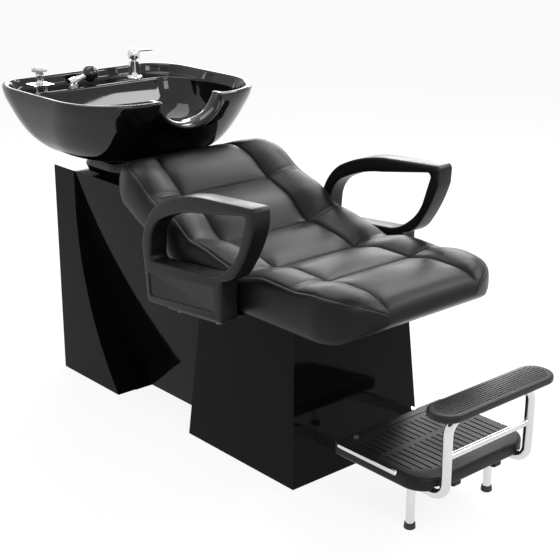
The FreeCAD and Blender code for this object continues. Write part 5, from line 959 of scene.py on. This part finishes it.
def groove(x, first, last, wide, deep, top, across=False):
    """A trough with round ends, as a tool that cuts into a top face."""
    low, high = min(first, last), max(first, last)
    points = (arc(x, low + wide / 2, wide / 2, wide / 2, 180, 180, 8)
              + arc(x, high - wide / 2, wide / 2, wide / 2, 0, 180, 8))
    rings = []
    for z, grow in ((top - deep, 0.55), (top - deep * 0.45, 0.9), (top + 3, 1.25)):
        ring = [(x + (a - x) * grow, b) for a, b in points]
        rings.append([Vector((b, a, z) if across else (a, b, z)) / 1000 for a, b in ring])
    return lofted("groove", rings)


def joined(tools):
    """One mesh object made of several that don't touch."""
    whole = bmesh.new()
    for tool in tools:
        whole.from_mesh(tool.data)
        bpy.data.objects.remove(tool)
    return placed("tools", whole)


def raised(height, across=0):
    """A place for a flat drawing at a height, and as far to the side."""
    return Matrix.Translation((across / 1000, 0, height / 1000))


step_skin = slab("step_skin", [rounded_plan(STEP_HALF, STEP_FRONT, STEP_REAR, *STEP_CORNERS)],
                 STEP_FLOOR, STEP_TOP, STEP_ROUND, raised((STEP_TOP + STEP_FLOOR) / 2))
cuts = []
for number in range(GROOVES):
    x = GROOVE_START + GROOVE_PITCH * number
    reach = abs(x) - 100
    front_end = STEP_FRONT + GROOVE_FRONT + (0.011 * reach * reach + 4 if reach > 0 else 0)
    for first, last in ((STEP_REAR - GROOVE_REAR, STEP_REAR - GROOVE_BREAK),
                        (STEP_REAR - GROOVE_AGAIN, front_end)):
        cuts.append(groove(x, first, last, GROOVE_WIDE, GROOVE_DEEP, STEP_TOP))
cuts.append(groove(STEP_REAR - 31, -GROOVE_ACROSS, GROOVE_ACROSS, 2.6, 1.6, STEP_TOP,
                   across=True))
carved(step_skin, joined(cuts))
carved(step_skin, slab("step_under", [rounded_plan(STEP_HALF - STEP_WALL, STEP_FRONT + 8,
                                                   STEP_REAR - STEP_WALL, *HOLLOW_CORNERS)],
                       0, 34, 1, raised(STEP_FLOOR + 7)))
for side, _ in SIDES:
    carved(step_skin, slab("tube_passage", [rounded_plan(12.6, STEP_FRONT - 14,
                                                         STEP_FRONT + 44, 8, 8)],
                           0, 24, 7, raised(STEP_FLOOR + 1, side * PASSAGE_ACROSS)))
step_paint = finish("step_paint", (0.010, 0.010, 0.010), (0.017, 0.017, 0.017), 10, 0.32,
                    0.44, 520, 0.0002, shine=0.16)
painted(step_skin, step_paint)
creased(step_skin, 40)
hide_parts("step_plate")
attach(step_skin, "base")
for side, side_name in SIDES:
    lug = slab(f"step_lug_{side_name}", [rounded_plan(14, STEP_FRONT + 4, STEP_FRONT + 24, 6, 4)],
               0, 18, 3, raised(STEP_FLOOR - 1, side * LUG_ACROSS))
    painted(lug, step_paint)
    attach(lug, "base")
    strip = slab(f"step_strip_{side_name}_bead",
                 [rounded_plan(STRIP_HALF, STRIP_FRONT, STRIP_REAR, 5.5, 5)], 0, 10, 4.2,
                 raised(STEP_TOP - 6.5, side * STRIP_ACROSS))
    painted(strip, chrome)
    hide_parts(f"step_strip_{side_name}")
    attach(strip, "base")

# Leg rest: one chromed tube bent into an arch that folds on two pins, a welded crossbar
# and plate, and a black moulded pad with fine grooves, screwed on from below.
ARCH_X, ARCH_Y, ARCH_PIVOT = 136.5, -398 - ROW_SHIFT, -320 - ROW_SHIFT
ARCH_LOW, ARCH_TOP, ARCH_TUBE, ARCH_BENDS = 118, 298, 11, (33, 34, 34, 33)
BAR_HIGH, BAR_TUBE = 213, 7.5
PLATE_HALF, PLATE_DEEP, PLATE_THICK, PLATE_HIGH = 100, 44, 3, 310.4
PAD_HALF, PAD_FRONT, PAD_REAR, PAD_ROUND = 186, -440 - ROW_SHIFT, -355 - ROW_SHIFT, 41
PAD_TOP, PAD_UNDER, PAD_GROOVES, PAD_PITCH = 330, 312, 9, 7.2


def tube(name, points, radius, material, rounds=()):
    """A smooth tube along a line of points, with the given bend radius at its corners."""
    path = [Vector(points[0])]
    for number in range(1, len(points) - 1):
        here = Vector(points[number])
        back, on = Vector(points[number - 1]) - here, Vector(points[number + 1]) - here
        bend = math.pi - back.angle(on)
        cut = rounds[number - 1] * math.tan(bend / 2)
        a, b = here + back.normalized() * cut, here + on.normalized() * cut
        centre = a + (b - here).normalized() * rounds[number - 1]
        arm, onwards = a - centre, (here - a).normalized()
        for step in range(15):
            turn = bend * step / 14
            path.append(centre + arm * math.cos(turn) + onwards * arm.length * math.sin(turn))
    path.append(Vector(points[-1]))
    curve = bpy.data.curves.new(name, "CURVE")
    curve.dimensions = "3D"
    spline = curve.splines.new("POLY")
    spline.points.add(len(path) - 1)
    for point, place in zip(spline.points, path):
        point.co = (*(place / 1000), 1)
    curve.bevel_depth = radius / 1000
    curve.bevel_resolution = 10
    curve.use_fill_caps = True
    made = shown(name, curve)
    mesh = baked(made)
    bpy.data.objects.remove(made)
    return creased(painted(shown(name, mesh), material), 50)


arch_line = [(-ARCH_X, ARCH_PIVOT, ARCH_LOW), (-ARCH_X, ARCH_Y, ARCH_LOW),
             (-ARCH_X, ARCH_Y, ARCH_TOP), (ARCH_X, ARCH_Y, ARCH_TOP), (ARCH_X, ARCH_Y, ARCH_LOW),
             (ARCH_X, ARCH_PIVOT, ARCH_LOW)]
arch = tube("leg_rest_tube", arch_line, ARCH_TUBE, chrome, ARCH_BENDS)
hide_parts("rest_arch")
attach(arch, "leg_rest")
for side, side_name in SIDES:
    drum = bmesh.new()
    eye_place = Matrix.Translation(Vector((side * ARCH_X, ARCH_PIVOT, ARCH_LOW)) / 1000)
    bmesh.ops.create_cone(drum, cap_ends=True, segments=48, radius1=ARCH_TUBE / 1000,
                          radius2=ARCH_TUBE / 1000, depth=2 * ARCH_TUBE / 1000,
                          matrix=eye_place @ Matrix.Rotation(math.pi / 2, 4, "Y"))
    eye = creased(placed(f"leg_rest_eye_{side_name}", drum, chrome), 50)
    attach(eye, "leg_rest")
bar = tube("leg_rest_bar", [(-ARCH_X, ARCH_Y, BAR_HIGH), (ARCH_X, ARCH_Y, BAR_HIGH)], BAR_TUBE,
           chrome)
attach(bar, "leg_rest")
saddle = slab("leg_rest_plate", [rounded_plan(PLATE_HALF, ARCH_Y - PLATE_DEEP / 2,
                                              ARCH_Y + PLATE_DEEP / 2, 4, 4)],
              0, PLATE_THICK, 0.6, raised(PLATE_HIGH))
painted(saddle, powder_coat)
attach(saddle, "leg_rest")
pad = slab("leg_rest_pad", [rounded_plan(PAD_HALF, PAD_FRONT, PAD_REAR, PAD_ROUND, PAD_ROUND)],
           PAD_UNDER, PAD_TOP, 6, raised((PAD_TOP + PAD_UNDER) / 2))
cuts = []
for number in range(PAD_GROOVES):
    offset = (number - PAD_GROOVES // 2) * PAD_PITCH
    reach = 172 - 0.024 * offset ** 2
    cuts.append(groove((PAD_FRONT + PAD_REAR) / 2 + offset, -reach, reach, 2.6, 1.8, PAD_TOP,
                       across=True))
carved(pad, joined(cuts))
pad_paint = finish("pad_paint", (0.016, 0.016, 0.016), (0.027, 0.027, 0.027), 12, 0.30, 0.44,
                   520, 0.00016, shine=0.2)
painted(pad, pad_paint)
creased(pad, 40)
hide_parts("rest_pad")
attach(pad, "leg_rest")
